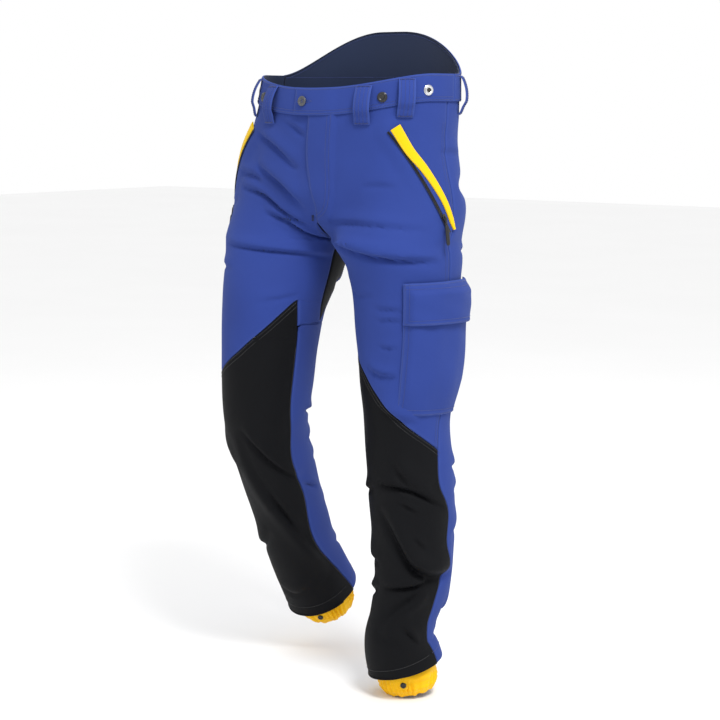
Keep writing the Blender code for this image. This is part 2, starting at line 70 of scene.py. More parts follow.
# ---------------------------------------------------------------- the garment's dimensions
# They are the CAD's own, but for how far the belt loops and the thigh pocket stand out, and the sizes of the
# brace buttons and the welts.
CROTCH, CROTCH_ROUND, HIP_BLEND = -0.28, 0.10, 0.20
SEAT_SQUARENESS, LEG_SQUARENESS = 2.3, 2.15
BAND_HEIGHT, BAND_THICK, BAND_LIFT = 0.047, 0.0030, 0.0034
KIDNEY_RISE, KIDNEY_LEAN, KIDNEY_REACH = 0.078, -0.03, 0.46
LOOP_WIDTH, LOOP_LENGTH, LOOP_STAND, LOOP_THICK = 0.029, 0.067, 0.0130, 0.0018
LOOPS = {"belt_loop_left_1": 0.155, "belt_loop_left_2": 0.305, "belt_loop_left_3": 0.62,
         "belt_loop_right_1": -0.155, "belt_loop_right_2": -0.305, "belt_loop_right_3": -0.62,
         "belt_loop_back": 1.0}
BUTTON_RADIUS, BRACE_RADIUS = 0.0088, 0.0080
HEM = {+1: -1.030, -1: -0.970}
POCKET_WELT = ((0.270, -0.084), (0.333, -0.123), (0.400, -0.158), (0.456, -0.202), (0.500, -0.256))
WELT_WIDTHS, WELT_RAISE = (0.0192, 0.0102), 0.0009
ZIP_ASIDE, ZIP_LIFT = 0.0136, 0.0056
SLIDER_THICK, PULLER_THICK, SLIDER_CLEAR, SLIDER_AT = 0.0026, 0.0026, 0.0022, 12
GAITER_PROFILE = ((-0.080, 0.0400), (-0.050, 0.0420), (-0.020, 0.0470), (0.005, 0.0515),
                  (0.022, 0.0525), (0.036, 0.0490), (0.044, 0.0430))
HOOK_AT = {+1: 0.33, -1: 0.19}
PUFF_AT = {+1: 0.42, -1: 0.75}
ELASTIC_ROWS = (0.018, 0.027, 0.036)
CARGO_U, CARGO_TOP, CARGO_BOTTOM = 0.488, -0.362, -0.575
CARGO_HALF_WIDTH, CARGO_DEPTH = 0.084, 0.0075
FLAP_TOP, FLAP_BOTTOM = -0.346, -0.421
SEAT = ((0.09, 0.118, 0.118, 0.000, 0.004),
        (0.00, 0.122, 0.118, 0.000, 0.000),
        (-0.06, 0.127, 0.122, -0.002, -0.001),
        (-0.14, 0.124, 0.129, -0.008, -0.004),
        (-0.22, 0.118, 0.137, -0.014, -0.012),
        (-0.28, 0.105, 0.140, -0.020, -0.030))
HIP = {+1: ((0.09, 0.184, 0.0), (0.00, 0.189, 0.0), (-0.06, 0.1905, 0.0),
            (-0.14, 0.1895, -0.002), (-0.20, 0.1935, -0.003), (-0.27, 0.206, -0.002), (-0.33, 0.212, 0.0)),
       -1: ((0.09, 0.184, 0.0), (0.00, 0.188, 0.0), (-0.06, 0.197, -0.004),
            (-0.14, 0.213, -0.020), (-0.22, 0.217, -0.028), (-0.33, 0.214, -0.030))}
LEG = {+1: ((-0.28, 0.116, 0.013, 0.108, 0.109), (-0.31, 0.130, 0.018, 0.095, 0.103),
            (-0.34, 0.132, 0.019, 0.091, 0.098), (-0.39, 0.134, 0.018, 0.089, 0.094),
            (-0.46, 0.1375, 0.016, 0.085, 0.091), (-0.53, 0.1415, 0.010, 0.079, 0.084),
            (-0.60, 0.142, 0.007, 0.072, 0.076), (-0.67, 0.148, 0.008, 0.073, 0.076),
            (-0.74, 0.152, 0.010, 0.074, 0.074), (-0.81, 0.155, 0.010, 0.070, 0.071),
            (-0.88, 0.156, 0.006, 0.064, 0.066), (-0.945, 0.146, -0.010, 0.056, 0.058),
            (-0.98, 0.143, -0.014, 0.060, 0.062), (-1.03, 0.151, -0.005, 0.064, 0.067)),
       -1: ((-0.28, 0.112, -0.010, 0.112, 0.108), (-0.33, 0.113, -0.030, 0.098, 0.103),
            (-0.39, 0.117, -0.043, 0.088, 0.098), (-0.46, 0.122, -0.050, 0.081, 0.092),
            (-0.53, 0.125, -0.054, 0.078, 0.086),
            (-0.60, 0.130, -0.054, 0.073, 0.079), (-0.64, 0.132, -0.046, 0.069, 0.074),
            (-0.70, 0.135, -0.022, 0.068, 0.070), (-0.76, 0.138, 0.006, 0.066, 0.068),
            (-0.82, 0.140, 0.034, 0.065, 0.067), (-0.88, 0.142, 0.064, 0.063, 0.066),
            (-0.93, 0.141, 0.094, 0.064, 0.068), (-0.97, 0.139, 0.118, 0.066, 0.070))}

# ---------------------------------------------------------------- the looks' own dimensions
GRID = 0.0045            # spacing of the cloth's mesh
CLOTH = 0.0016           # one panel with its lining
ROLL, ROLL_REACH = 0.0019, 0.0050   # how far a panel's edge turns down into its seam, and over what width
TURN = 0.50              # one turn of u is about this many metres of cloth
STITCH, PITCH, THREAD = 0.0034, 0.0040, 0.00042
SEAM_ROW, SECOND_ROW, HEM_ROW = 0.0030, 0.0085, 0.018   # how far stitches run from their seam or hem
TUCK = 0.006             # how far a panel reaches up under the waistband
BACK_JOIN = -0.50        # where the upper back panel meets the lower one
APEX_JOIN = -0.455       # the same for the top corner of the right black panel
JOIN_GAP = 0.016          # how far round a join of two strips their side edges lie flat


# ---------------------------------------------------------------- the cloth's surface
def smooth(t):
    t = np.clip(t, 0, 1)
    return t * t * (3 - 2 * t)


def unit(v):
    return v / np.linalg.norm(v, axis=-1, keepdims=True)


def along(stations, z):
    """The rows of a table of stations read at heights z, on a smooth curve through them."""
    rows = np.array(stations, float)
    depth = -rows[:, 0]
    at = np.clip(-np.asarray(z, float), depth[0], depth[-1])
    i = np.clip(np.searchsorted(depth, at, side="right") - 1, 0, len(rows) - 2)
    step = np.diff(depth)
    slope = np.diff(rows, axis=0) / step[:, None]
    tangent = np.empty_like(rows)
    tangent[0], tangent[-1] = slope[0], slope[-1]
    before, after = step[:-1, None], step[1:, None]
    tangent[1:-1] = (slope[:-1] * after + slope[1:] * before) / (before + after)
    t = ((at - depth[i]) / step[i])[..., None]
    span = step[i][..., None]
    return ((1 + 2 * t) * (1 - t) ** 2 * rows[i] + t * (1 - t) ** 2 * span * tangent[i]
            + t * t * (3 - 2 * t) * rows[i + 1] + t * t * (t - 1) * span * tangent[i + 1])


def rounded(x, squareness):
    return np.sign(x) * np.abs(x) ** (2 / squareness)


def half_point(side, u, z):
    """The cloth on one half of the garment, u from 0 to 1."""
    ring = np.maximum(z, CROTCH)
    seat, hip = along(SEAT, ring), along(HIP[side], ring)
    front, back, mid_x, mid_y = (seat[..., k] for k in range(1, 5))
    c, s = np.cos(pi * u), np.sin(pi * u)
    seat_x = hip[..., 1] * rounded(s, SEAT_SQUARENESS)
    seat_y = hip[..., 2] * s * s - rounded(c, SEAT_SQUARENESS) * np.where(c > 0, front, back)

    low = np.minimum(z, CROTCH)
    nudge = 0.001
    above, below = along(LEG[side], np.minimum(low + nudge, CROTCH)), along(LEG[side], low - nudge)
    fall = above[..., 0] - below[..., 0] + 1e-9
    free = smooth((CROTCH - low) / 0.12)
    lean_x = np.arctan((above[..., 1] - below[..., 1]) / fall) * free
    lean_y = np.arctan((above[..., 2] - below[..., 2]) / fall) * free
    leg = along(LEG[side], low)
    across = -leg[..., 3] * rounded(np.cos(2 * pi * u), LEG_SQUARENESS)
    deep = -leg[..., 4] * rounded(np.sin(2 * pi * u), LEG_SQUARENESS)
    leg_x = leg[..., 1] + across * np.cos(lean_x)
    leg_y = leg[..., 2] * (free + (1 - free) * s * s) + deep * np.cos(lean_y)
    leg_z = low - across * np.sin(lean_x) - deep * np.sin(lean_y)

    under = np.clip((z - CROTCH) / CROTCH_ROUND, 0, 1)
    centre = 1 - np.sqrt(np.clip(1 - (1 - under) ** 2, 0, 1))
    sides = 1 - smooth((z - CROTCH) / HIP_BLEND)
    at_seam = np.abs(c) ** 3
    leggy = np.where(z > CROTCH, at_seam * centre + (1 - at_seam) * sides, 1)
    x = (1 - leggy) * seat_x + leggy * leg_x
    y = (1 - leggy) * seat_y + leggy * leg_y
    return np.stack([side * x + mid_x, y + mid_y, np.where(z > CROTCH, z, leg_z)], -1)


def point(side, u, z):
    """The cloth at any u: past the centre seams it runs on into the other half, and round a leg it repeats."""
    u, z = np.broadcast_arrays(np.asarray(u, float), np.asarray(z, float))
    u = np.where(z <= CROTCH, u % 1, u)
    crossed = (u < 0) | (u > 1)
    u = np.where(u < 0, -u, np.where(u > 1, 2 - u, u))
    here, there = half_point(side, u, z), half_point(-side, u, z)
    return np.where(crossed[..., None], there, here)


def normal(side, u, z):
    e = 0.004
    round_it = point(side, np.asarray(u) + e, z) - point(side, np.asarray(u) - e, z)
    up_it = point(side, u, np.asarray(z) + e) - point(side, u, np.asarray(z) - e)
    return unit(side * np.cross(round_it, up_it))


# ---------------------------------------------------------------- folds
# Each fold: the points (u, z) that it runs through, its valley's depth and the height of the ridge beside it in
# mm before FOLD_GAIN, and its width in mm. The ridge is above a fold that runs towards higher u, or below it
# where the width is negative.
FOLDS = {
    +1: (
        (((0.175, -0.185), (0.245, -0.183), (0.310, -0.185)), 1.3, 0.8, 9),
        (((0.030, -0.250), (0.205, -0.248), (0.430, -0.257)), 2.6, 1.6, 9),
        (((0.080, -0.272), (0.285, -0.303), (0.465, -0.315)), 5.0, 4.0, 11),
        (((0.470, -0.130), (0.540, -0.128), (0.620, -0.136)), 1.4, 1.0, 9),
        (((0.250, -0.395), (0.300, -0.395), (0.345, -0.398)), 1.5, 1.0, 6),
        (((0.250, -0.415), (0.300, -0.413), (0.345, -0.415)), 1.6, 1.0, 5),
        (((0.260, -0.463), (0.285, -0.465), (0.320, -0.463)), 1.5, 1.0, 6),
        (((0.200, -0.503), (0.260, -0.515), (0.320, -0.515)), 2.6, 2.4, 8),
        (((0.120, -0.360), (0.180, -0.372), (0.250, -0.372)), 1.2, 1.0, 10),
        (((0.230, -0.563), (0.310, -0.583), (0.400, -0.590)), 1.5, 2.6, 13),
        (((0.280, -0.655), (0.330, -0.690), (0.425, -0.716)), 2.4, 3.4, 14),
        (((0.215, -0.694), (0.340, -0.705), (0.490, -0.741)), 5.0, 2.8, 8),
        (((0.300, -0.726), (0.335, -0.735), (0.370, -0.745)), 2.6, 1.4, 6),
        (((0.350, -0.787), (0.375, -0.800), (0.400, -0.812)), 1.8, 1.2, 6),
        (((0.215, -0.735), (0.300, -0.818), (0.350, -0.848), (0.435, -0.863), (0.560, -0.858)), 7.0, 7.5, 17),
        (((0.225, -0.902), (0.350, -0.883), (0.440, -0.866)), 5.5, 2.0, 9),
        (((0.250, -0.948), (0.350, -0.908), (0.405, -0.876)), 2.6, 3.6, -12),
        (((0.355, -0.952), (0.405, -0.963), (0.450, -0.976)), 2.8, 1.6, 7),
        (((0.240, -0.970), (0.310, -0.975), (0.365, -0.982)), 1.4, 1.6, 9),
        (((0.060, -0.700), (0.110, -0.712), (0.190, -0.700)), 3.0, 2.0, 10),
        (((0.040, -0.800), (0.110, -0.835), (0.200, -0.842)), 3.0, 2.4, 13),
        (((0.020, -0.905), (0.100, -0.915), (0.190, -0.905)), 3.6, 2.4, 11),
        (((0.540, -0.190), (0.620, -0.186), (0.720, -0.196)), 4.5, 0.0, 38),
        (((0.560, -0.292), (0.700, -0.318), (0.900, -0.305)), 3.4, 2.6, 13),
        (((0.620, -0.232), (0.760, -0.262), (0.960, -0.250)), 1.6, 1.6, 16),
        (((0.640, -0.345), (0.780, -0.362), (0.930, -0.340)), 2.6, 2.0, 11),
        (((0.620, -0.430), (0.720, -0.452), (0.880, -0.436)), 1.6, 1.4, 13),
        (((0.560, -0.676), (0.720, -0.692), (0.930, -0.668)), 4.5, 3.4, 11),
        (((0.580, -0.722), (0.700, -0.716), (0.860, -0.738)), 3.4, 2.8, 10),
        (((0.540, -0.800), (0.700, -0.775), (0.880, -0.800)), 3.0, 2.6, 15),
        (((0.560, -0.900), (0.700, -0.925), (0.900, -0.900)), 4.0, 3.0, 12),
        (((0.580, -0.962), (0.720, -0.950), (0.860, -0.966)), 2.4, 2.0, 11),
    ),
    -1: (
        (((0.030, -0.160), (0.125, -0.120), (0.250, -0.092)), 4.2, 2.4, 11),
        (((0.004, -0.107), (0.055, -0.085), (0.130, -0.066)), 2.8, 2.0, 9),
        (((0.006, -0.232), (0.090, -0.190), (0.215, -0.153)), 5.0, 3.2, 13),
        (((0.010, -0.262), (0.092, -0.234), (0.190, -0.205), (0.320, -0.191)), 5.0, 2.6, 8),
        (((0.010, -0.284), (0.050, -0.272), (0.104, -0.248), (0.200, -0.234)), 4.6, 2.8, 8),
        (((0.190, -0.180), (0.255, -0.170), (0.375, -0.165)), 3.0, 1.8, 9),
        (((0.340, -0.215), (0.400, -0.222), (0.470, -0.216)), 2.0, 1.4, 9),
        (((0.010, -0.316), (0.190, -0.305), (0.345, -0.294)), 3.2, 3.0, 9),
        (((0.060, -0.378), (0.120, -0.390), (0.190, -0.400)), 1.2, 0.9, 8),
        (((0.300, -0.352), (0.380, -0.345), (0.470, -0.352)), 1.4, 1.2, 11),
        (((0.035, -0.712), (0.155, -0.653), (0.245, -0.610)), 3.8, 2.6, 10),
        (((0.005, -0.895), (0.060, -0.843), (0.145, -0.760), (0.215, -0.688), (0.250, -0.610)), 1.0, 3.6, -15),
        (((0.110, -0.822), (0.140, -0.773), (0.195, -0.708)), 2.2, 1.6, 9),
        (((-0.055, -0.750), (-0.015, -0.735), (0.024, -0.718)), 2.6, 1.4, 7),
        (((0.300, -0.690), (0.390, -0.650), (0.470, -0.628)), 3.0, 2.4, 12),
        (((0.240, -0.800), (0.340, -0.840), (0.440, -0.850)), 2.4, 2.4, 15),
        (((0.120, -0.905), (0.230, -0.925), (0.350, -0.915)), 1.8, 1.8, 13),
        (((0.560, -0.285), (0.700, -0.312), (0.900, -0.300)), 3.4, 2.6, 13),
        (((0.640, -0.340), (0.780, -0.362), (0.930, -0.346)), 2.6, 2.0, 11),
        (((0.620, -0.225), (0.760, -0.255), (0.960, -0.244)), 1.6, 1.6, 16),
        (((0.600, -0.470), (0.720, -0.500), (0.880, -0.478)), 1.8, 1.6, 14),
        (((0.530, -0.598), (0.720, -0.618), (0.960, -0.590)), 6.0, 4.2, 12),
        (((0.560, -0.655), (0.720, -0.646), (0.930, -0.668)), 6.0, 4.0, 11),
        (((0.580, -0.700), (0.740, -0.712), (0.900, -0.704)), 3.4, 2.8, 12),
        (((0.560, -0.790), (0.700, -0.815), (0.880, -0.800)), 2.4, 2.2, 15),
        (((0.560, -0.880), (0.720, -0.905), (0.900, -0.885)), 2.8, 2.4, 13),
    ),
}
FOLD_GAIN = 1.9
RELIEF_U = np.linspace(-0.25, 1.25, 301)
RELIEF_Z = np.linspace(0.10, -1.10, 481)


def smooth_route(knots, count):
    """Points on a smooth curve through knots."""
    knots = np.array(knots, float)
    order = np.linspace(0, 1, len(knots))
    return along(np.column_stack([-order, knots]), -np.linspace(0, 1, count))[:, 1:]


def fold(flat, knots, valley, ridge, width):
    """One fold's height over points of the flat cloth, in metres."""
    route = smooth_route(knots, 14) * (TURN, 1)
    nearest = np.full(len(flat), 1e9)
    aside, run = np.zeros(len(flat)), np.zeros(len(flat))
    for k, (a, b) in enumerate(zip(route, route[1:])):
        ahead = b - a
        length = np.linalg.norm(ahead)
        ahead /= length
        off = flat - a
        t = np.clip(off @ ahead, 0, length)
        gap = off - t[:, None] * ahead
        distance = np.linalg.norm(gap, axis=1)
        closer = distance < nearest
        nearest[closer] = distance[closer]
        left = off[:, 1] * ahead[0] - off[:, 0] * ahead[1]
        aside[closer] = (distance * np.sign(left))[closer]
        run[closer] = ((k + t / length) / (len(route) - 1))[closer]
    reach = abs(width) / 1000
    aside = aside * np.sign(width) / reach
    taper = np.sin(pi * np.clip(run, 0.0, 1.0)) ** 0.7
    valley, ridge = valley * FOLD_GAIN, ridge * FOLD_GAIN
    dip = valley * np.exp(-(aside / 0.42) ** 2)
    rise = ridge * np.where(aside > 1, np.exp(-((aside - 1) / 1.3) ** 2), np.exp(-((aside - 1) / 0.62) ** 2))
    return taper * (rise - dip) / 1000


def undulation(side, u, z):
    """Slow unevenness of the hanging cloth."""
    a, b = u * TURN, z
    waves = ((31, 17, 0.3), (-23, 29, 1.9), (47, -13, 4.1), (13, 53, 2.6), (-61, 37, 5.2), (71, 67, 0.8))
    return sum(np.sin(p * a + q * b + r + side) for p, q, r in waves) * 0.00024


def circle_through(a, b, c):
    """Centre and axis of the circle through three points."""
    ab, ac = b - a, c - a
    axis = np.cross(ab, ac)
    centre = a + (np.cross(axis, ab) * ac.dot(ac) + np.cross(ac, axis) * ab.dot(ab)) / (2 * axis.dot(axis))
    return centre, unit(axis)


def frames(points, normals):
    """Unit directions along a route and across it, square to the normals."""
    ahead = unit(np.gradient(points, axis=0))
    return ahead, unit(np.cross(normals, ahead))


def read_rows(at, run, values):
    """Rows of values known at run, read at other places along it."""
    return np.stack([np.interp(at, run, column) for column in values.T], 1)


def zip_arc(side, count):
    """The true arc that a hip pocket's slider follows: its points, and the cloth's normals along it."""
    uz = smooth_route(POCKET_WELT, 15)
    route, facing = point(side, uz[:, 0], uz[:, 1]), normal(side, uz[:, 0], uz[:, 1])
    _, across = frames(route, facing)
    aside = route - across * np.sign(across[7, 2]) * ZIP_ASIDE + facing * ZIP_LIFT
    centre, axis = circle_through(aside[0], aside[7], aside[14])
    first, middle, last = (Vector(aside[k] - centre) for k in (0, 7, 14))
    whole = first.angle(middle) + middle.angle(last)
    turns = np.linspace(0, whole, count)
    arc = np.array([centre + np.array(Matrix.Rotation(turn, 3, Vector(axis)) @ first) for turn in turns])
    return arc, unit(read_rows(np.linspace(0, 14, count), np.arange(15), facing))


def arc_on_cloth(side):
    """Where the zip's arc runs over the cloth, as u and z, and how far above the cloth it is."""
    arc, _ = zip_arc(side, 25)
    u, z = np.meshgrid(np.linspace(0.20, 0.60, 161), np.linspace(-0.06, -0.30, 185))
    u, z = u.ravel(), z.ravel()
    places, facing = point(side, u, z), normal(side, u, z)
    rows = []
    for spot in arc:
        k = np.argmin(((places - spot) ** 2).sum(1))
        rows.append((u[k], z[k], (spot - places[k]) @ facing[k]))
    return np.array(rows)


def band_bottom(u):
    return waist_top(u) - BAND_HEIGHT


def waist_top(u):
    """The waistband's upper edge: low at the front, level from the hips back."""
    return -0.018 + 0.024 * smooth(np.abs(u) / 0.42)


def make_relief(side):
    """The height of the folds over a regular grid of u and z."""
    u, z = np.meshgrid(RELIEF_U, RELIEF_Z)
    flat = np.column_stack([u.ravel() * TURN, z.ravel()])
    height = undulation(side, u, z).ravel()
    for knots, valley, ridge, width in FOLDS[side]:
        for shift in (-1, 0, 1):
            moved = [(a + shift, b) for a, b in knots]
            if shift == 0 or (max(b for _, b in knots) < CROTCH):
                height += fold(flat, moved, valley, ridge, width)
    height = height.reshape(u.shape)
    centre_seam = smooth(np.minimum(np.abs(u), np.abs(1 - u)) / 0.035)
    height *= 1 - (1 - centre_seam) * smooth((z - CROTCH + 0.03) / 0.03)
    height *= smooth((band_bottom(np.minimum(np.abs(u), 0.5)) - z) / 0.030)
    zipped = arc_on_cloth(side)
    off = flat[:, None, :] - zipped[None, :, :2] * (TURN, 1)
    distance = np.linalg.norm(off, axis=2)
    closest = distance.argmin(1)
    core = 1 - smooth((distance.min(1) - 0.005) / 0.026)
    target = zipped[closest, 2] - 0.0024
    return height * (1 - core.reshape(u.shape)) + (target * core).reshape(u.shape)


RELIEF = {side: make_relief(side) for side in (+1, -1)}


def relief(side, u, z):
    """The folds' height at any u and z, read between the grid's points."""
    u, z = np.broadcast_arrays(np.asarray(u, float), np.asarray(z, float))
    table = RELIEF[side]
    i = np.clip((RELIEF_Z[0] - z) / (RELIEF_Z[0] - RELIEF_Z[1]), 0, len(RELIEF_Z) - 1.001)
    j = np.clip((u - RELIEF_U[0]) / (RELIEF_U[1] - RELIEF_U[0]), 0, len(RELIEF_U) - 1.001)
    a, b = i.astype(int), j.astype(int)
    s, t = i - a, j - b
    return ((1 - s) * ((1 - t) * table[a, b] + t * table[a, b + 1])
            + s * ((1 - t) * table[a + 1, b] + t * table[a + 1, b + 1]))


def cloth(side, u, z, lift=0.0):
    """A point on the folded cloth, lifted off it."""
    rise = relief(side, u, z) + np.asarray(lift)
    return point(side, u, z) + normal(side, u, z) * rise[..., None]


# ---------------------------------------------------------------- putting meshes together
def put_in_scene(name, data):
    made = bpy.data.objects.new(name, data)
    bpy.context.scene.collection.objects.link(made)
    return made


class Parts:
    """Quads of one piece as it grows: points, faces, the number of each face's material, uv, wear, and the
    grids of points that a sheet was laid out on."""

    def __init__(self):
        self.points, self.faces, self.looks, self.uv, self.wear, self.grids = [], [], [], [], [], []
        self.count = 0

    def add(self, points, faces, look=0, uv=None, wear=None):
        points = np.asarray(points, float).reshape(-1, 3)
        faces = np.asarray(faces, int).reshape(-1, 4)
        self.points.append(points)
        self.faces.append(faces + self.count)
        self.looks.append(np.broadcast_to(look, len(faces)))
        self.uv.append(points[:, [0, 2]] if uv is None else np.asarray(uv).reshape(-1, 2))
        self.wear.append(np.zeros(len(points)) if wear is None else np.asarray(wear).ravel())
        self.count += len(points)

    def made(self, name, looks):
        points, faces = np.concatenate(self.points), np.concatenate(self.faces)
        mesh = bpy.data.meshes.new(name)
        mesh.vertices.add(len(points))
        mesh.vertices.foreach_set("co", points.astype(np.float32).ravel())
        mesh.loops.add(faces.size)
        mesh.loops.foreach_set("vertex_index", faces.astype(np.int32).ravel())
        mesh.polygons.add(len(faces))
        mesh.polygons.foreach_set("loop_start", np.arange(0, faces.size, 4, dtype=np.int32))
        mesh.polygons.foreach_set("material_index", np.concatenate(self.looks).astype(np.int32))
        for look in looks:
            mesh.materials.append(LOOKS[look])
        mesh.update(calc_edges=True)
        layer = mesh.uv_layers.new(name="cloth")
        layer.data.foreach_set("uv", np.concatenate(self.uv)[faces.ravel()].astype(np.float32).ravel())
        wear = mesh.attributes.new("wear", "FLOAT", "POINT")
        wear.data.foreach_set("value", np.concatenate(self.wear).astype(np.float32))
        mesh.validate()
        mesh.shade_smooth()
        mesh.set_sharp_from_angle(angle=radians(50))
        return put_in_scene(name, mesh)


def grid_faces(rows, columns, ring=False):
    across = np.arange(columns if ring else columns - 1)
    i, j = np.meshgrid(np.arange(rows - 1) * columns, across, indexing="ij")
    k = (j + 1) % columns
    return np.stack([i + j, i + columns + j, i + columns + k, i + k], -1).reshape(-1, 4)


def grid_uv(across, down):
    """Flat coordinates for a grid, from the distances across it and down it."""
    return np.stack(np.broadcast_arrays(across, down), -1)


def shell(parts, outer, inner, looks=(0, 1), uv=None, wear=None, ring=False, flip=False):
    """A closed sheet between two grids of points. Its faces turn out when rows run down and columns to the
    right seen from outside; flip is for columns that run the other way."""
    rows, columns = outer.shape[:2]
    n = rows * columns
    face = grid_faces(rows, columns, ring)
    top, bottom = np.arange(columns), np.arange(columns) + (rows - 1) * columns
    if ring:
        top, bottom = np.append(top, top[0]), np.append(bottom, bottom[0])
    rims = [(top, 1), (bottom, -1)]
    if not ring:
        left, right = np.arange(rows) * columns, np.arange(rows) * columns + columns - 1
        rims += [(left, -1), (right, 1)]
    edge = []
    for line, way in rims:
        a, b = (line[:-1], line[1:]) if way > 0 else (line[1:], line[:-1])
        edge.append(np.stack([a, b, b + n, a + n], -1))
    edge = np.concatenate(edge)
    faces = np.concatenate([face, face[:, ::-1] + n, edge])
    if flip:
        faces = faces[:, ::-1]
    look = np.repeat((looks[0], looks[1], looks[0]), (len(face), len(face), len(edge)))
    points = np.concatenate([outer.reshape(-1, 3), inner.reshape(-1, 3)])
    if uv is not None:
        uv = np.concatenate([uv.reshape(-1, 2)] * 2)
    if wear is not None:
        wear = np.concatenate([wear.ravel()] * 2)
    parts.add(points, faces, look, uv, wear)


def spread(length, step=GRID, fine=True):
    """Fractions along a span of this length, closer together at its ends where the edge rolls over."""
    if not fine or length < 0.02:
        return np.linspace(0, 1, max(3, round(length / step) + 1))
    edge = np.array((0.0, 0.0009, 0.0022, 0.0042)) / length
    middle = np.linspace(edge[-1], 1 - edge[-1], max(2, round(length / step)))
    return np.concatenate([edge[:-1], middle, (1 - edge[:-1])[::-1]])


def stitch_row(parts, centres, ahead, facing, look, length=STITCH, thick=THREAD):
    """Thread lying on cloth: one small bead for each stitch."""
    across = np.cross(facing, ahead)
    rings = []
    for along_it, size, sink in ((-0.5, 0.4, -0.6), (-0.25, 1.0, 0.1), (0.25, 1.0, 0.1), (0.5, 0.4, -0.6)):
        middle = centres + ahead * length * along_it + facing * thick * sink
        for turn in (0, 1, 2, 3):
            way = across * cos(turn * pi / 2) + facing * sin(turn * pi / 2)
            rings.append(middle + way * thick * size)
    points = np.stack(rings, 1)
    faces = []
    for k in range(3):
        for turn in range(4):
            a, b = k * 4 + turn, k * 4 + (turn + 1) % 4
            faces.append((a, b, b + 4, a + 4))
    faces += [(3, 2, 1, 0), (12, 13, 14, 15)]
    count = len(centres)
    faces = (np.array(faces)[None] + np.arange(count)[:, None, None] * 16).reshape(-1, 4)
    parts.add(points.reshape(-1, 3), faces, look)


def stitch_path(parts, path, facing, look=2, pitch=PITCH):
    """Stitches along a route in space. facing is one direction, or one for each of its points."""
    step = np.linalg.norm(np.diff(path, axis=0), axis=1)
    run = np.concatenate([[0], np.cumsum(step)])
    at = np.arange(pitch / 2, run[-1], pitch)
    if len(at) < 2:
        return
    ahead = unit(read_rows(at, run, np.gradient(path, axis=0)))
    facing = read_rows(at, run, np.broadcast_to(facing, path.shape))
    facing = unit(facing - ahead * (facing * ahead).sum(1, keepdims=True))
    stitch_row(parts, read_rows(at, run, path), ahead, facing, look)


def stitch(parts, side, u, z, lift=0.0, look=2):
    """Stitches along a route given as u and z."""
    u, z = np.broadcast_arrays(np.asarray(u, float), np.asarray(z, float))
    stitch_path(parts, cloth(side, u, z, lift + THREAD * 0.4), normal(side, u, z), look)


# ---------------------------------------------------------------- materials
def nodes_of(name):
    made = bpy.data.materials.new(name)
    made.use_nodes = True
    tree = made.node_tree
    return made, tree, tree.nodes["Principled BSDF"]


def add_node(tree, kind, **settings):
    node = tree.nodes.new(kind)
    for key, value in settings.items():
        if key in node.inputs:
            node.inputs[key].default_value = value
        else:
            setattr(node, key, value)
    return node


def noise(tree, vector, scale, detail=2.0):
    node = add_node(tree, "ShaderNodeTexNoise", Scale=scale, Detail=detail)
    tree.links.new(vector, node.inputs["Vector"])
    return node.outputs["Fac"]


def wave(tree, vector, period, direction="DIAGONAL"):
    """Threads at this spacing in metres."""
    node = add_node(tree, "ShaderNodeTexWave", Scale=0.314 / period, Distortion=0.35)
    node.bands_direction = direction
    node.inputs["Detail Scale"].default_value = 3.0
    tree.links.new(vector, node.inputs["Vector"])
    return node.outputs["Fac"]


def math_node(tree, operation, a, b=0.0, clamp=False):
    node = add_node(tree, "ShaderNodeMath", operation=operation, use_clamp=clamp)
    for socket, value in zip(node.inputs, (a, b)):
        if isinstance(value, (int, float)):
            socket.default_value = value
        else:
            tree.links.new(value, socket)
    return node.outputs[0]


def blend_colour(tree, factor, a, b):
    node = add_node(tree, "ShaderNodeMix", data_type="RGBA")
    for socket, value in ((node.inputs[0], factor), (node.inputs[6], a), (node.inputs[7], b)):
        if hasattr(value, "is_output"):
            tree.links.new(value, socket)
        elif isinstance(value, (int, float)):
            socket.default_value = value
        else:
            socket.default_value = (*value, 1)
    return node.outputs[2]


def spread_value(tree, value, low, high):
    node = add_node(tree, "ShaderNodeMapRange")
    for key, number in (("From Min", 0.3), ("From Max", 0.7), ("To Min", low), ("To Max", high)):
        node.inputs[key].default_value = number
    tree.links.new(value, node.inputs["Value"])
    return node.outputs["Result"]


def wire(tree, shader, colour, rough, height, strength, depth):
    """Joins up a material's colour, roughness and bump."""
    bump = add_node(tree, "ShaderNodeBump", Strength=strength, Distance=depth)
    for out, into in ((colour, shader.inputs["Base Color"]), (rough, shader.inputs["Roughness"]),
                      (height, bump.inputs["Height"]), (bump.outputs["Normal"], shader.inputs["Normal"])):
        tree.links.new(out, into)


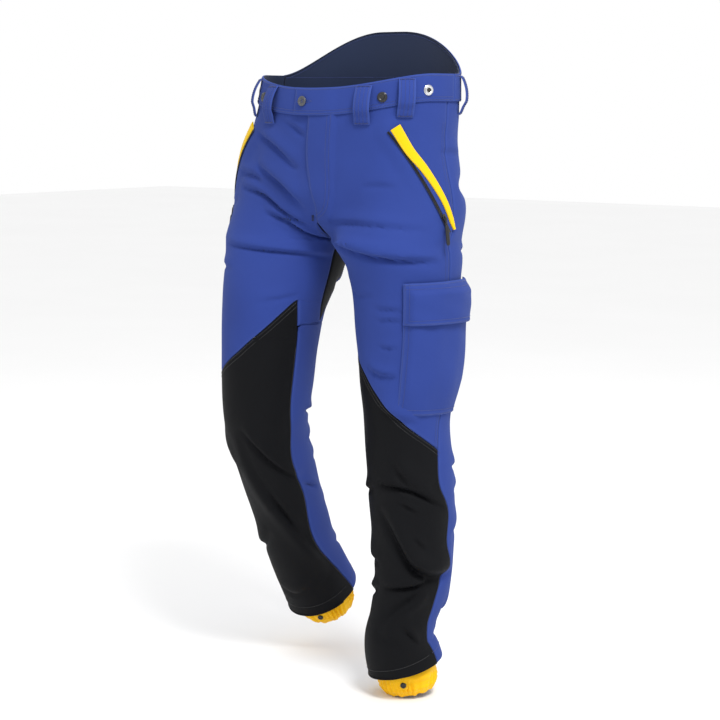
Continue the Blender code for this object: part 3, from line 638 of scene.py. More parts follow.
def woven(name, colour, dark, light, rough=0.82, sheen=0.25, sheen_tint=(1, 1, 1), thread=0.0011,
          depth=0.00022, twill=True, shine=0.16):
    """Woven cloth: threads, slow unevenness of its dye, and paler seams where it rubs."""
    made, tree, shader = nodes_of(name)
    uv = add_node(tree, "ShaderNodeUVMap", uv_map="cloth").outputs["UV"]
    slow = noise(tree, uv, 9.0, 3.0)
    fibre = noise(tree, uv, 900.0, 1.0)
    warp = wave(tree, uv, thread, "DIAGONAL" if twill else "X")
    weft = wave(tree, uv, thread * 0.8, "Y")
    crossing = math_node(tree, "ADD", math_node(tree, "MULTIPLY", weft, 0.35), 0.65)
    weave = math_node(tree, "MULTIPLY", warp, crossing)
    wear = add_node(tree, "ShaderNodeAttribute", attribute_name="wear").outputs["Fac"]
    toned = blend_colour(tree, spread_value(tree, slow, 0.0, 1.0), dark, colour)
    threaded = blend_colour(tree, math_node(tree, "MULTIPLY", weave, 0.16), toned, light)
    flecked = blend_colour(tree, spread_value(tree, fibre, 0.0, 0.18), threaded, light)
    worn = blend_colour(tree, math_node(tree, "MULTIPLY", wear, math_node(tree, "ADD", slow, 0.15), True),
                        flecked, light)
    for key, value in (("Sheen Weight", sheen), ("Sheen Roughness", 0.5), ("Sheen Tint", (*sheen_tint, 1)),
                       ("Specular IOR Level", shine)):
        shader.inputs[key].default_value = value
    height = math_node(tree, "ADD", weave, math_node(tree, "MULTIPLY", fibre, 0.6))
    wire(tree, shader, worn, spread_value(tree, slow, rough - 0.05, rough + 0.05), height, 0.6, depth)
    return made


def hard(name, colour, rough, metallic=0.0, coat=0.0, light=None):
    """Metal or plastic: fine grain, and roughness that changes over it."""
    made, tree, shader = nodes_of(name)
    place = add_node(tree, "ShaderNodeTexCoord").outputs["Object"]
    coarse, fine = noise(tree, place, 100.0), noise(tree, place, 400.0)
    light = light or tuple(min(1.0, c * 1.35 + 0.01) for c in colour)
    toned = blend_colour(tree, spread_value(tree, coarse, 0.0, 0.6), colour, light)
    shader.inputs["Metallic"].default_value = metallic
    shader.inputs["Coat Weight"].default_value = coat
    wire(tree, shader, toned, spread_value(tree, coarse, rough * 0.8, rough * 1.25), fine, 0.4, 0.00004)
    return made


def thread_look(name, colour, light):
    """Twisted sewing thread."""
    made, tree, shader = nodes_of(name)
    place = add_node(tree, "ShaderNodeTexCoord").outputs["Object"]
    twist = wave(tree, place, 0.0006)
    tree.links.new(blend_colour(tree, twist, colour, light), shader.inputs["Base Color"])
    shader.inputs["Roughness"].default_value = 0.55
    shader.inputs["Sheen Weight"].default_value = 0.2
    return made


BLUE = (0.020, 0.043, 0.225)
LOOKS = {
    "blue": woven("blue_stretch_cloth", BLUE, (0.017, 0.037, 0.200), (0.045, 0.080, 0.300),
                  sheen=0.07, sheen_tint=(0.5, 0.65, 1.0)),
    "black": woven("black_outer_cloth", (0.0030, 0.0032, 0.0042), (0.0022, 0.0024, 0.0034),
                   (0.007, 0.0075, 0.0095), rough=0.66, sheen=0.0, thread=0.0009, twill=False, shine=0.11),
    "lining": woven("navy_lining", (0.014, 0.023, 0.058), (0.011, 0.019, 0.048), (0.026, 0.038, 0.080),
                    rough=0.7, sheen=0.08, thread=0.0014, depth=0.00015, twill=False),
    "yellow": woven("yellow_trim", (0.80, 0.52, 0.0008), (0.75, 0.46, 0.0006), (0.86, 0.62, 0.006),
                    rough=0.6, sheen=0.03, thread=0.0008, depth=0.00012),
    "gaiter": woven("gaiter_nylon", (0.90, 0.50, 0.0010), (0.74, 0.34, 0.0006), (0.97, 0.64, 0.006),
                    rough=0.48, sheen=0.03, thread=0.0007, depth=0.0001, twill=False),
    "tape": woven("zip_tape", (0.004, 0.004, 0.005), (0.003, 0.003, 0.004), (0.010, 0.010, 0.012),
                  rough=0.7, thread=0.0006, depth=0.0001, twill=False),
    "pocketing": woven("pocket_cloth", (0.030, 0.030, 0.034), (0.024, 0.024, 0.028), (0.06, 0.06, 0.065),
                       thread=0.0009, twill=False),
    "pad": woven("saw_pad_cover", (0.60, 0.60, 0.55), (0.52, 0.52, 0.47), (0.74, 0.74, 0.70),
                 thread=0.0016, twill=False),
    # the blue thread is made darker than the cloth: painted shade, standing in for the shade of the grooves
    # that the stitches sink into
    "blue_thread_painted_groove_shade": thread_look("blue_thread_painted_groove_shade", (0.012, 0.024, 0.130), (0.022, 0.042, 0.190)),
    "black_thread": thread_look("black_thread", (0.005, 0.005, 0.006), (0.013, 0.013, 0.015)),
    "yellow_thread": thread_look("yellow_thread", (0.80, 0.48, 0.01), (0.95, 0.70, 0.05)),
    "coil": hard("zip_coil", (0.005, 0.005, 0.006), 0.5),
    "button": hard("button_resin", (0.040, 0.042, 0.050), 0.32, coat=0.4, light=(0.085, 0.088, 0.10)),
    "enamel": hard("black_enamel", (0.004, 0.004, 0.005), 0.30, coat=0.15),
    "nickel": hard("nickel_plate", (0.62, 0.62, 0.63), 0.24, metallic=1.0),
    "rubber": hard("puller_rubber", (0.004, 0.004, 0.005), 0.60),
}

# ---------------------------------------------------------------- seams that panels share
def rule(*knots):
    """A smooth curve through (z, u) knots, highest first, as a rule from z to u."""
    return lambda z: along(knots, z)[..., 1]


def edge_of(*knots):
    """A smooth curve through (u, z) knots as a rule from u to z."""
    rows = [(-u, z) for u, z in knots]
    return lambda u: along(rows, -np.asarray(u, float))[..., 1]


FLY_EDGE = {+1: rule((0.05, -0.0085), (-0.06, -0.0085), (-0.133, -0.0085), (-0.190, 0.003), (-0.225, 0.012),
                     (-0.242, 0.006), (-0.251, 0.0)),
            -1: rule((0.05, 0.0052), (-0.06, 0.0052), (-0.133, 0.0052), (-0.190, -0.006), (-0.225, -0.016),
                     (-0.242, -0.007), (-0.251, 0.0))}
GUSSET_FRONT = {+1: rule((-0.250, 0.0), (-0.270, 0.003), (-0.285, 0.010), (-0.300, 0.022), (-0.330, 0.026),
                         (-0.380, 0.005), (-0.420, -0.020)),
                -1: rule((-0.250, 0.0), (-0.279, 0.003), (-0.300, 0.006), (-0.330, -0.004), (-0.3864, -0.040),
                         (-0.420, -0.062))}
GUSSET_BACK = {+1: rule((-0.260, 0.0), (-0.280, 0.050), (-0.300, 0.085), (-0.340, 0.083), (-0.380, 0.055),
                        (-0.420, 0.020)),
               -1: rule((-0.260, 0.0), (-0.280, 0.060), (-0.300, 0.110), (-0.340, 0.125), (-0.380, 0.110),
                        (-0.420, 0.064))}
BLACK_EDGE = {+1: edge_of((-0.02, -0.427), (0.08, -0.468), (0.18, -0.510), (0.255, -0.553), (0.345, -0.591),
                          (0.410, -0.615), (0.500, -0.649)),
              -1: edge_of((0.060, -0.3864), (0.110, -0.415), (0.165, -0.445), (0.215, -0.470), (0.260, -0.491),
                          (0.310, -0.509), (0.400, -0.533), (0.500, -0.550))}
INNER_SEAM = {+1: lambda z: np.full(np.shape(z), -0.020),
              -1: rule((-0.380, 0.062), (-0.400, 0.050), (-0.440, 0.034), (-0.560, 0.033), (-0.620, 0.027),
                       (-0.680, 0.045), (-0.740, 0.033), (-0.825, 0.050), (-0.890, 0.008), (-0.970, -0.035))}
SIDE_SEAM = {+1: rule((-0.56, 0.500), (-0.610, 0.494), (-0.660, 0.478), (-0.700, 0.474), (-0.750, 0.512),
                      (-0.800, 0.508), (-0.845, 0.520), (-0.880, 0.480), (-0.920, 0.488), (-0.960, 0.508),
                      (-1.013, 0.522)),
             -1: lambda z: np.full(np.shape(z), 0.500)}
GUSSET_TIP, TIP_TURN = -0.42, 0.010


def front_inner(side):
    """The front panel's inner edge: the fly, then the gusset."""
    return lambda z: np.where(z > -0.250, FLY_EDGE[side](z), GUSSET_FRONT[side](z))


def inner_leg(side):
    """The seam down the inner leg, from the gusset's tip."""
    turn = lambda z: smooth((GUSSET_TIP - z) / TIP_TURN)
    return lambda z: GUSSET_FRONT[side](z) * (1 - turn(z)) + INNER_SEAM[side](z) * turn(z)


def back_inner(side):
    """The back panel's inner edge: the centre back, the gusset, then the inner leg."""
    return lambda z: np.where(z > GUSSET_TIP, 1 - GUSSET_BACK[side](z) * (z < -0.260), 1 + inner_leg(side)(z))


def kidney_top(v):
    """The raised back's edge. v is measured from the back centre, positive to the wearer's left."""
    return waist_top(0.5) + KIDNEY_RISE * smooth(1.06 * (1 - np.abs(v - KIDNEY_LEAN) / KIDNEY_REACH))


HIP_START = Vector((0, -0.030, -0.315))
HIP_BEND = {word: ("seat", f"{word}_upper_leg", HIP_START, HIP_START + Vector((side * 0.048, 0, -0.101)))
            for word, side in SIDES.items()}
KNEE_BEND = {"left": ("left_upper_leg", "left_lower_leg", (0.127, -0.022, -0.657), (0.1335, -0.020, -0.777)),
             "right": ("right_upper_leg", "right_lower_leg", (-0.149, -0.084, -0.575),
                       (-0.155, -0.050, -0.705))}


# ---------------------------------------------------------------- a panel of cloth
SIZES = {}


def run_from(places, axis):
    """Distances along a grid's rows or columns from their start, and from their end."""
    steps = np.linalg.norm(np.diff(places, axis=axis), axis=2)
    start = np.insert(np.cumsum(steps, axis=axis), 0, 0, axis=axis)
    return start, start.take([-1], axis=axis) - start


def panel(parts, side, u0, u1, top, bottom, ends="rrrr", looks=(0, 1), lift=0.0, thick=CLOTH, folded=1.0,
          roll=ROLL, step=GRID, seamed=None, sides=None):
    """One patch of the folded cloth as a closed shell. u0 and u1 are numbers or rules in z, and top and bottom
    numbers or rules in u. ends says for top, bottom, u0 and u1 whether it rolls into a seam (r) or lies
    flush (f). seamed, a rule in u, says how much of the top and bottom edges' roll there is, and sides, a rule
    in z, how much of the other two's."""
    read = lambda value, x: value(x) if callable(value) else np.full(np.shape(x), float(value))
    inset = [0.00025 * (way == "r") for way in ends]
    guess = np.array([read(top, np.array([0.2]))[0], read(bottom, np.array([0.2]))[0]])
    widths = [read(u1, z) - read(u0, z) for z in np.linspace(*guess, 9)]
    s = spread(max(float(w) for w in widths) * TURN, step, "r" in ends[2:])
    mid = (read(u0, guess) + read(u1, guess)) / 2
    heights = read(top, mid) - read(bottom, mid)
    t = spread(float(np.max(heights)), step, "r" in ends[:2])
    across, down = np.meshgrid(s, t)
    z = np.full(across.shape, guess.mean())
    for _ in range(12):
        low, high = read(u0, z) + inset[2] / TURN, read(u1, z) - inset[3] / TURN
        u = low + across * (high - low)
        z = read(top, u) - inset[0] + down * (read(bottom, u) + inset[1] - read(top, u) + inset[0])
    flat = point(side, u, z)
    ways = (*run_from(flat, 0), *run_from(flat, 1))
    drop, wear = np.zeros(u.shape), np.zeros(u.shape)
    for k, (away, way) in enumerate(zip(ways, ends)):
        if way == "r":
            part = seamed(u) if seamed and k < 2 else sides(z) if sides and k > 1 else 1
            near = np.clip(1 - away / ROLL_REACH, 0, 1) * part
            drop = np.maximum(drop, roll * (1 - np.sqrt(np.clip(1 - near * near, 0, 1))))
            wear = np.maximum(wear, 0.5 * part * np.exp(-((away - 0.002) / 0.0022) ** 2))
    facing = normal(side, u, z)
    rise = relief(side, u, z) * folded + (lift(u, z) if callable(lift) else lift) - drop
    outer = flat + facing * rise[..., None]
    inner = outer - facing * (thick - np.minimum(drop, thick * 0.3))[..., None]
    shell(parts, outer, inner, looks, np.stack([u * TURN, z], -1), wear, flip=side < 0)
    parts.grids.append(outer)
    return u, z, outer


def flat_size(parts):
    """Width, length and area of the cloth that a piece's patches were cut from."""
    widths, lengths, area = [], [], 0.0
    for outer in parts.grids:
        rows, columns = run_from(outer, 1)[1][:, 0], run_from(outer, 0)[1][0]
        widths.append(rows.max())
        lengths.append(columns.max())
        a, b = np.diff(outer, axis=0)[:, :-1], np.diff(outer, axis=1)[:-1]
        area += np.linalg.norm(np.cross(a, b), axis=2).sum()
    return float(max(widths)), float(sum(lengths)), float(area)


def place(piece, nodes=(), body=None, bend=None, slot=None, cloth_of=None, held="hung", rests_on=()):
    """Hides the CAD parts that a piece stands for, hangs it from the body that it moves with or, where a bend
    is given, only bakes its transform, and notes its flat size if it is a sheet. Its finish, slot, is not used.
    """
    if nodes:
        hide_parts(*nodes)
    if bend:
        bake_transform(piece)
    else:
        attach(piece, body)
    if cloth_of:
        width, length, area = flat_size(cloth_of)
        length = min(max(length, 1.02 * area / width), 2.5 * area / width)
        SIZES[piece.name] = [round(width, 3), round(length, 3), round(area, 4)]
    return piece


def beside(u, z, aside):
    """A line of u and z moved sideways by metres, to the left of its direction, with u right and z up."""
    du, dz = np.gradient(u) * TURN, np.gradient(z)
    length = np.hypot(du, dz) + 1e-12
    return u - aside * dz / length / TURN, z + aside * du / length


def seam_stitches(parts, side, u, z, offsets):
    """Rows of stitches at these distances from a seam."""
    for aside in offsets:
        stitch(parts, side, *beside(u, z, aside))


# ---------------------------------------------------------------- fronts, fly, backs and legs
def lap(u, z):
    """The left front's own height over the fly that it covers."""
    over = 1 - smooth((u - 0.058) / 0.012)
    return 0.0042 * over * smooth((z + 0.258) / 0.022)


def under_lap(u, z):
    """The right front's own height beside the foot of the fly."""
    foot = smooth((-0.150 - z) / 0.030) * smooth((z + 0.258) / 0.022)
    return 0.0020 * (1 - smooth((u - 0.010) / 0.012)) * foot


J_STITCH = ((0.055, -0.060), (0.055, -0.130), (0.060, -0.195), (0.048, -0.225), (0.020, -0.238))


def front(word, side):
    parts = Parts()
    top = lambda u: band_bottom(u) + TUCK
    if side > 0:
        bottom = BLACK_EDGE[side]
    else:
        bottom = lambda u: np.where(u < 0.060, -0.3864, BLACK_EDGE[side](np.maximum(u, 0.060)))
    rise = lap if side > 0 else under_lap
    seamed = (lambda u: smooth((u - 0.057) / 0.005)) if side < 0 else None
    panel(parts, side, front_inner(side), SIDE_SEAM[side], top, bottom, "frrr", lift=rise, seamed=seamed)
    z = np.linspace(-0.250, -0.066, 50)
    if side > 0:
        stitch(parts, side, FLY_EDGE[side](z) + 0.005, z, lap(FLY_EDGE[side](z), z))
        route = smooth_route(J_STITCH, 60)
        for aside in (0, 0.0055):
            u, down = beside(route[:, 0], route[:, 1], -aside)
            stitch(parts, side, u, down, lap(u, down))
    else:
        panel(parts, side, GUSSET_FRONT[side], INNER_SEAM[side], -0.3864, GUSSET_TIP, "ffrr")
        turned = lambda z: GUSSET_FRONT[side](z) + (INNER_SEAM[side](z) - GUSSET_FRONT[side](z)) * smooth(
            (GUSSET_TIP - z) / TIP_TURN)
        panel(parts, side, turned, INNER_SEAM[side], GUSSET_TIP, GUSSET_TIP - TIP_TURN * 0.96, "fffr")
    z = np.linspace(-0.545 if side < 0 else -0.640, -0.075, 160)
    seam_stitches(parts, side, SIDE_SEAM[side](z), z, (SEAM_ROW, SECOND_ROW))
    z = np.linspace(-0.410 if side > 0 else -0.380, -0.256, 60)
    seam_stitches(parts, side, GUSSET_FRONT[side](z), z, (-SEAM_ROW,))
    nodes = [f"{word}_front_panel", f"{word}_thigh_front", f"{word}_hip_cloth"] + ["fly_placket"] * (side > 0)
    piece = parts.made(f"{word}_front", ("blue", "lining", "blue_thread_painted_groove_shade"))
    place(piece, nodes, bend=HIP_BEND[word], slot="blue_cloth", cloth_of=parts,
          rests_on=[f"waistband_{word}"])


def back(word, side):
    upper = Parts()
    top = lambda u: band_bottom(np.minimum(u, 0.5)) + TUCK
    level = GUSSET_TIP - TIP_TURN / 2
    joined = (lambda z: 1 - smooth((JOIN_GAP - np.abs(z - level)) / 0.006)) if side < 0 else None
    panel(upper, side, SIDE_SEAM[side], back_inner(side), top, BACK_JOIN, "ffrr", sides=joined)
    z = np.linspace(-0.255, -0.070, 60)
    if side > 0:
        seam_stitches(upper, side, np.full_like(z, 1.0), z, (SEAM_ROW, 0.0090))
    z = np.linspace(-0.410, -0.266, 40)
    seam_stitches(upper, side, back_inner(side)(z), z, (SEAM_ROW,))
    piece = upper.made(f"{word}_back_upper", ("blue", "lining", "blue_thread_painted_groove_shade"))
    place(piece, [f"{word}_seat_panel"], bend=HIP_BEND[word], slot="blue_cloth", cloth_of=upper,
          rests_on=[f"waistband_{word}"])
    lower = Parts()
    panel(lower, side, SIDE_SEAM[side], lambda z: 1 + inner_leg(side)(z), BACK_JOIN, HEM[side], "frrr")
    u = np.linspace(0.507, 0.975, 120)
    seam_stitches(lower, side, u, np.full_like(u, HEM[side]), (HEM_ROW,))
    piece = lower.made(f"{word}_back_lower", ("blue", "lining", "blue_thread_painted_groove_shade"))
    place(piece, [f"{word}_thigh_back", f"{word}_shin_back"], bend=KNEE_BEND[word], slot="blue_cloth",
          cloth_of=lower, rests_on=[f"{word}_back_upper"])


def black(word, side):
    parts = Parts()
    inner = inner_leg(side)
    edge = BLACK_EDGE[side]
    nodes = [f"{word}_thigh_black", f"{word}_knee_cloth", f"{word}_shin_front"]
    if side < 0:
        apex = Parts()
        reach = 0.1825
        peak = lambda u: np.maximum(edge(np.maximum(u, 0.060)), APEX_JOIN)
        panel(apex, side, INNER_SEAM[side], reach, peak, APEX_JOIN, "rfrf", step=0.003)
        u = np.linspace(0.066, 0.180, 60)
        seam_stitches(apex, side, u, edge(u), (-SEAM_ROW, -SECOND_ROW))
        piece = apex.made(f"{word}_black_top", ("black", "black", "black_thread"))
        place(piece, bend=HIP_BEND[word], slot="black_cloth", cloth_of=apex, rests_on=[f"{word}_front"])
        top = lambda u: np.minimum(edge(np.maximum(u, 0.060)), APEX_JOIN)
        u = np.linspace(0.190, 0.494, 110)
    else:
        top = edge
        u = np.linspace(-0.010, 0.494, 150)
    below = lambda u: np.where(top(u) < APEX_JOIN - 0.0001, smooth((u - 0.180) / 0.008), 0.0)
    seamed = below if side < 0 else None
    panel(parts, side, inner, SIDE_SEAM[side], top, HEM[side], "rfrr", seamed=seamed)
    seam_stitches(parts, side, u, top(u), (-SEAM_ROW, -SECOND_ROW))
    u = np.linspace(0.0, 0.49, 120)
    seam_stitches(parts, side, u, np.full_like(u, HEM[side]), (HEM_ROW,))
    z = np.linspace(HEM[side] + 0.004, -0.66 if side > 0 else -0.56, 200)
    seam_stitches(parts, side, SIDE_SEAM[side](z), z, (SEAM_ROW,))
    z = np.linspace(HEM[side] + 0.004, -0.47, 260)
    seam_stitches(parts, side, inner(z), z, (-SEAM_ROW,))
    piece = parts.made(f"{word}_black", ("black", "black", "black_thread"))
    place(piece, nodes, bend=KNEE_BEND[word], slot="black_cloth", cloth_of=parts, rests_on=[f"{word}_front"])


def gusset(word, side):
    parts = Parts()
    before, behind = GUSSET_FRONT[side], GUSSET_BACK[side]
    for u0, u1, top, bottom in ((lambda z: -behind(z), before, CROTCH, GUSSET_TIP + 0.001),
                                (0.0, lambda z: before(z) + 0.0005, -0.252, CROTCH),
                                (lambda z: 1 - behind(z) - 0.0005, 1.0, -0.262, CROTCH)):
        panel(parts, side, u0, u1, top, bottom, "ffrr", step=0.0035)
    piece = parts.made(f"{word}_inner_gusset", ("black", "lining", "black_thread"))
    place(piece, [f"{word}_gusset"], bend=HIP_BEND[word], slot="black_cloth", cloth_of=parts,
          rests_on=[f"{word}_front"])


# ---------------------------------------------------------------- waistband and raised back
BAND_ROLL = 0.0011


def waistbands():
    tab = lambda u, z: BAND_LIFT + (BAND_THICK + 0.0006) * (1 - smooth((u - 0.03) / 0.05))
    plain = lambda u, z: BAND_LIFT + 0 * u
    for word, side, first, rise in (("left", +1, -0.050, tab), ("right", -1, 0.012, plain)):
        parts = Parts()
        panel(parts, side, first, 0.5298, waist_top, band_bottom, "rrrr", lift=rise, thick=BAND_THICK,
              roll=BAND_ROLL, step=0.0035)
        u = np.linspace(first + 0.006, 0.520, 200)
        for line in (waist_top(u) - 0.0035, band_bottom(u) + 0.0035, band_bottom(u) + 0.0080):
            stitch(parts, side, u, line, rise(u, line))
        if side > 0:
            z = np.linspace(waist_top(0) - 0.005, band_bottom(0) + 0.005, 20)
            stitch(parts, side, np.full_like(z, first + 0.006), z, rise(first, z) + 0 * z)
            turn = np.linspace(0, 2 * pi, 60)
            hole_u, hole_z = -0.020 + 0.0100 * np.cos(turn) / TURN, -0.041 + 0.0022 * np.sin(turn)
            stitch(parts, side, hole_u, hole_z, rise(hole_u, hole_z))
        piece = parts.made(f"band_{word}", ("blue", "lining", "blue_thread_painted_groove_shade"))
        place(piece, [f"waistband_{word}"], "seat", slot="blue_cloth")


def kidney():
    top = lambda u: kidney_top(1 - u)
    foot = lambda u: np.full(np.shape(u), band_bottom(0.5))
    parts = Parts()
    rise = lambda u, z: BAND_LIFT + 0 * u
    panel(parts, +1, 0.5302, 1.4698, top, foot, "rrrr", lift=rise, thick=0.0024, roll=BAND_ROLL, folded=0.0)
    u = np.linspace(0.536, 1.464, 300)
    for line in (top(u) - 0.0040, foot(u) + 0.0035, foot(u) + 0.0435, foot(u) + 0.0475):
        flat_stitch(parts, +1, u, line, BAND_LIFT)
    piece = parts.made("raised_back", ("blue", "lining", "blue_thread_painted_groove_shade"))
    place(piece, ["kidney_panel"], "seat", slot="blue_cloth", cloth_of=parts, rests_on=["band_left"])
    parts = Parts()
    panel(parts, +1, 0.5315, 1.4685, lambda u: top(u) - 0.0012, foot, "rrrr", looks=(0, 0),
          lift=lambda u, z: 0.0008 + 0 * u, thick=0.0016, folded=0.0)
    for line in (foot(u) + 0.0435, top(u) - 0.0060):
        inside_stitch(parts, +1, u, line, 0.0008 - 0.0016)
    piece = parts.made("raised_back_lining", ("lining", "lining", "blue_thread_painted_groove_shade"))
    place(piece, ["kidney_lining"], "seat", slot="lining", cloth_of=parts, rests_on=["raised_back"])


def flat_stitch(parts, side, u, z, lift):
    """Stitches over cloth that has no folds."""
    facing = normal(side, u, z)
    stitch_path(parts, point(side, u, z) + facing * (lift + THREAD * 0.4), facing)


def inside_stitch(parts, side, u, z, lift):
    """Stitches on a panel's inner face."""
    facing = normal(side, u, z)
    stitch_path(parts, point(side, u, z) + facing * (lift - THREAD * 0.4), -facing)


# ---------------------------------------------------------------- small solids
def rings(parts, ring, look=0):
    """A closed body through rings of points, an even number in each, seen turning left from its far end."""
    rows, columns = ring.shape[:2]
    faces = [grid_faces(rows, columns, True)[:, ::-1]]
    for start, way in ((0, -1), ((rows - 1) * columns, 1)):
        i = np.arange(columns // 2 - 1)
        cap = start + np.stack([i, i + 1, columns - 2 - i, columns - 1 - i], -1)
        faces.append(cap[:, ::way])
    parts.add(ring.reshape(-1, 3), np.concatenate(faces), look)


def turned(parts, centre, axis, profile, look=0, sides=40):
    """A turned body: profile is (radius, distance along the axis) from its foot to its top."""
    axis = unit(np.asarray(axis, float))
    side_way = unit(np.cross(axis, (0.3, 0.2, 1.0)))
    other = np.cross(axis, side_way)
    angle = np.linspace(0, 2 * pi, sides, endpoint=False)[:, None]
    round_it = side_way * np.cos(angle) + other * np.sin(angle)
    rings(parts, np.array([centre + axis * height + round_it * radius for radius, height in profile]), look)


def pod(parts, centre, ahead, up, sections, look=0, squareness=3.5, sides=20):
    """A smooth body along ahead: sections are (distance, half width, half height, rise)."""
    across = np.cross(ahead, up)
    angle = np.linspace(0, 2 * pi, sides, endpoint=False)[:, None]
    wide, high = rounded(np.cos(angle), squareness), rounded(np.sin(angle), squareness)
    ring = [centre + ahead * run + across * wide * width + up * (high * height + rise)
            for run, width, height, rise in sections]
    rings(parts, np.array(ring)[:, ::-1], look)


def rounded_sections(length, width, height, corner):
    """Sections for a pod with rounded ends."""
    rows = []
    for k in range(7):
        turn = k / 6 * pi / 2
        shrink = 1 - (1 - sin(turn)) * 0.75
        rows.append((-length / 2 + corner * (1 - cos(turn)), width / 2 * shrink, height / 2 * shrink, 0))
    return rows + [(-run, *rest) for run, *rest in rows[::-1]]


# ---------------------------------------------------------------- belt loops and fasteners
def belt_loop(name, v):
    side, u = (1 if v > 0 else -1), abs(v)
    top = waist_top(min(u, 0.5)) - 0.003
    t = np.linspace(0, 1, 44)
    z = top - LOOP_LENGTH * t
    here = np.full_like(z, u)
    foot = BAND_LIFT * (1 - smooth((t - 0.62) / 0.20))
    stand = foot + LOOP_THICK + 0.0006 + (LOOP_STAND - BAND_LIFT) * np.sin(pi * t) ** 0.75
    middle = point(side, here, z) + normal(side, here, z) * stand[:, None]
    out = normal(side, np.array(u), np.array(top - LOOP_LENGTH / 2))
    across = unit(np.cross((0, 0, 1), out))
    down = unit(np.gradient(middle, axis=0))
    facing = unit(np.cross(down, across))
    s = np.array((-0.5, -0.48, -0.44, -0.3, -0.15, 0, 0.15, 0.3, 0.44, 0.48, 0.5))
    crown = 0.0007 * np.sqrt(np.clip(1 - (np.abs(s) * 2) ** 6, 0, 1)) - 0.0007
    bow = lambda s: -0.0012 * (2 * s) ** 2
    flat = middle[:, None] + across * (s * LOOP_WIDTH)[None, :, None]
    outer = flat + facing[:, None] * (crown + bow(s))[None, :, None]
    inner = flat + facing[:, None] * (bow(s) - LOOP_THICK + 0.0003)[None, :, None]
    parts = Parts()
    uv = grid_uv(s[None] * LOOP_WIDTH, -t[:, None] * LOOP_LENGTH)
    shell(parts, outer, inner, (0, 0), uv, np.broadcast_to((np.abs(s) > 0.43) * 0.5, outer.shape[:2]))
    for aside in (-0.36, -0.12, 0.12, 0.36):
        way = middle + across * aside * LOOP_WIDTH + facing * (0.0002 + bow(aside))
        stitch_path(parts, way[1:-1], facing[1:-1])
    tack = np.linspace(-0.42, 0.42, 16)
    for at, inward in ((1, 1), (42, -1)):
        for extra in (0.0, 0.0013):
            way = (middle[at] + down[at] * (extra + 0.0008) * inward + np.outer(tack * LOOP_WIDTH, across)
                   + np.outer(0.0002 + bow(tack), facing[at]))
            stitch_path(parts, way, facing[at], pitch=0.0022)
    place(parts.made(f"{name}_sewn", ("blue", "blue", "blue_thread_painted_groove_shade")), [name], "seat", slot="blue_cloth")


def drilled(piece, cutter):
    """The piece with the cutter's solid taken out."""
    cut = piece.modifiers.new("holes", "BOOLEAN")
    cut.object, cut.operation, cut.solver = cutter, "DIFFERENCE", "EXACT"
    bpy.context.view_layer.update()
    graph = bpy.context.evaluated_depsgraph_get()
    mesh = bpy.data.meshes.new_from_object(piece.evaluated_get(graph), preserve_all_data_layers=True,
                                           depsgraph=graph)
    piece.modifiers.clear()
    piece.data = mesh
    bpy.data.objects.remove(cutter, do_unlink=True)
    mesh.shade_smooth()
    mesh.set_sharp_from_angle(angle=radians(40))
    return piece


def waist_button():
    u, z = np.array(-0.022), np.array(-0.041)
    axis = normal(+1, u, z)
    foot = point(+1, u, z) + axis * (BAND_LIFT + BAND_THICK + 0.0006 + 0.0010)
    r = BUTTON_RADIUS
    parts = Parts()
    turned(parts, foot, axis, ((r * 0.5, 0), (r - 0.0012, 0), (r - 0.0003, 0.0005), (r, 0.0012),
                               (r - 0.0001, 0.0020), (r - 0.0008, 0.0027), (r - 0.0018, 0.0029),
                               (r - 0.0027, 0.0026), (r - 0.0033, 0.0019), (r * 0.3, 0.0018)))
    right = unit(np.cross((0, 0, 1), axis))
    up = np.cross(axis, right)
    holes, hole_at = Parts(), 0.0016
    for a in (-1, 1):
        for b in (-1, 1):
            at = foot + right * a * hole_at + up * b * hole_at
            turned(holes, at - axis * 0.002, axis, ((0.00085, 0), (0.00085, 0.006)), sides=16)
    piece = drilled(parts.made("waist_button_resin", ("button",)), holes.made("holes", ("button",)))
    place(piece, ["waist_button"], "seat", slot="button")
    thread = Parts()
    for b in (-1, 1):
        for k in (-1, 0, 1):
            way = foot + axis * 0.0019 + up * (b * hole_at + k * 0.00035)
            run = np.linspace(-0.0017, 0.0017, 7)
            arch = 0.0005 * (1 - (run / 0.0017) ** 2) - 0.0004 * (np.abs(run) > hole_at)
            stitch_path(thread, way + np.outer(run, right) + np.outer(arch, axis), axis, 0, pitch=0.0016)
    place(thread.made("waist_button_thread", ("blue_thread_painted_groove_shade",)), (), "seat", slot="blue_cloth")


def brace_buttons():
    r = BRACE_RADIUS
    for word, side in SIDES.items():
        for name, u, z, rim in (("inner", 0.218, -0.034, "enamel"), ("outer", 0.395, -0.022, "nickel")):
            u, z = np.array(u), np.array(z)
            axis = normal(side, u, z)
            foot = point(side, u, z) + axis * (BAND_LIFT + 0.0002)
            parts = Parts()
            turned(parts, foot, axis, (
                (r * 0.4, 0), (r + 0.0006, 0), (r + 0.0008, 0.0003), (r + 0.0004, 0.0006), (r * 0.55, 0.0008),
                (r * 0.5, 0.0012), (r * 0.9, 0.0016), (r, 0.0021), (r - 0.0002, 0.0028), (r - 0.0010, 0.0033),
                (r * 0.62, 0.0032), (r * 0.55, 0.0026), (r * 0.3, 0.0025)))
            turned(parts, foot + axis * 0.0024, axis,
                   ((r * 0.48, 0), (r * 0.46, 0.0006), (r * 0.30, 0.0010), (r * 0.10, 0.0011)), 1, 28)
            piece = parts.made(f"{word}_brace_{name}", (rim, "enamel"))
            place(piece, [f"{word}_brace_button_{name}"], "seat",
                  slot="nickel" if rim == "nickel" else "black_metal")


# ---------------------------------------------------------------- hip pockets
def welt_line(side):
    """Points along the middle of a hip pocket's welt, and the directions off the cloth and across the welt."""
    u, z = smooth_route(POCKET_WELT, 60).T
    base, facing = cloth(side, u, z), normal(side, u, z)
    across = frames(base, facing)[1]
    return base + across * np.sign(across[30, 2]) * WELT_RAISE, facing, across


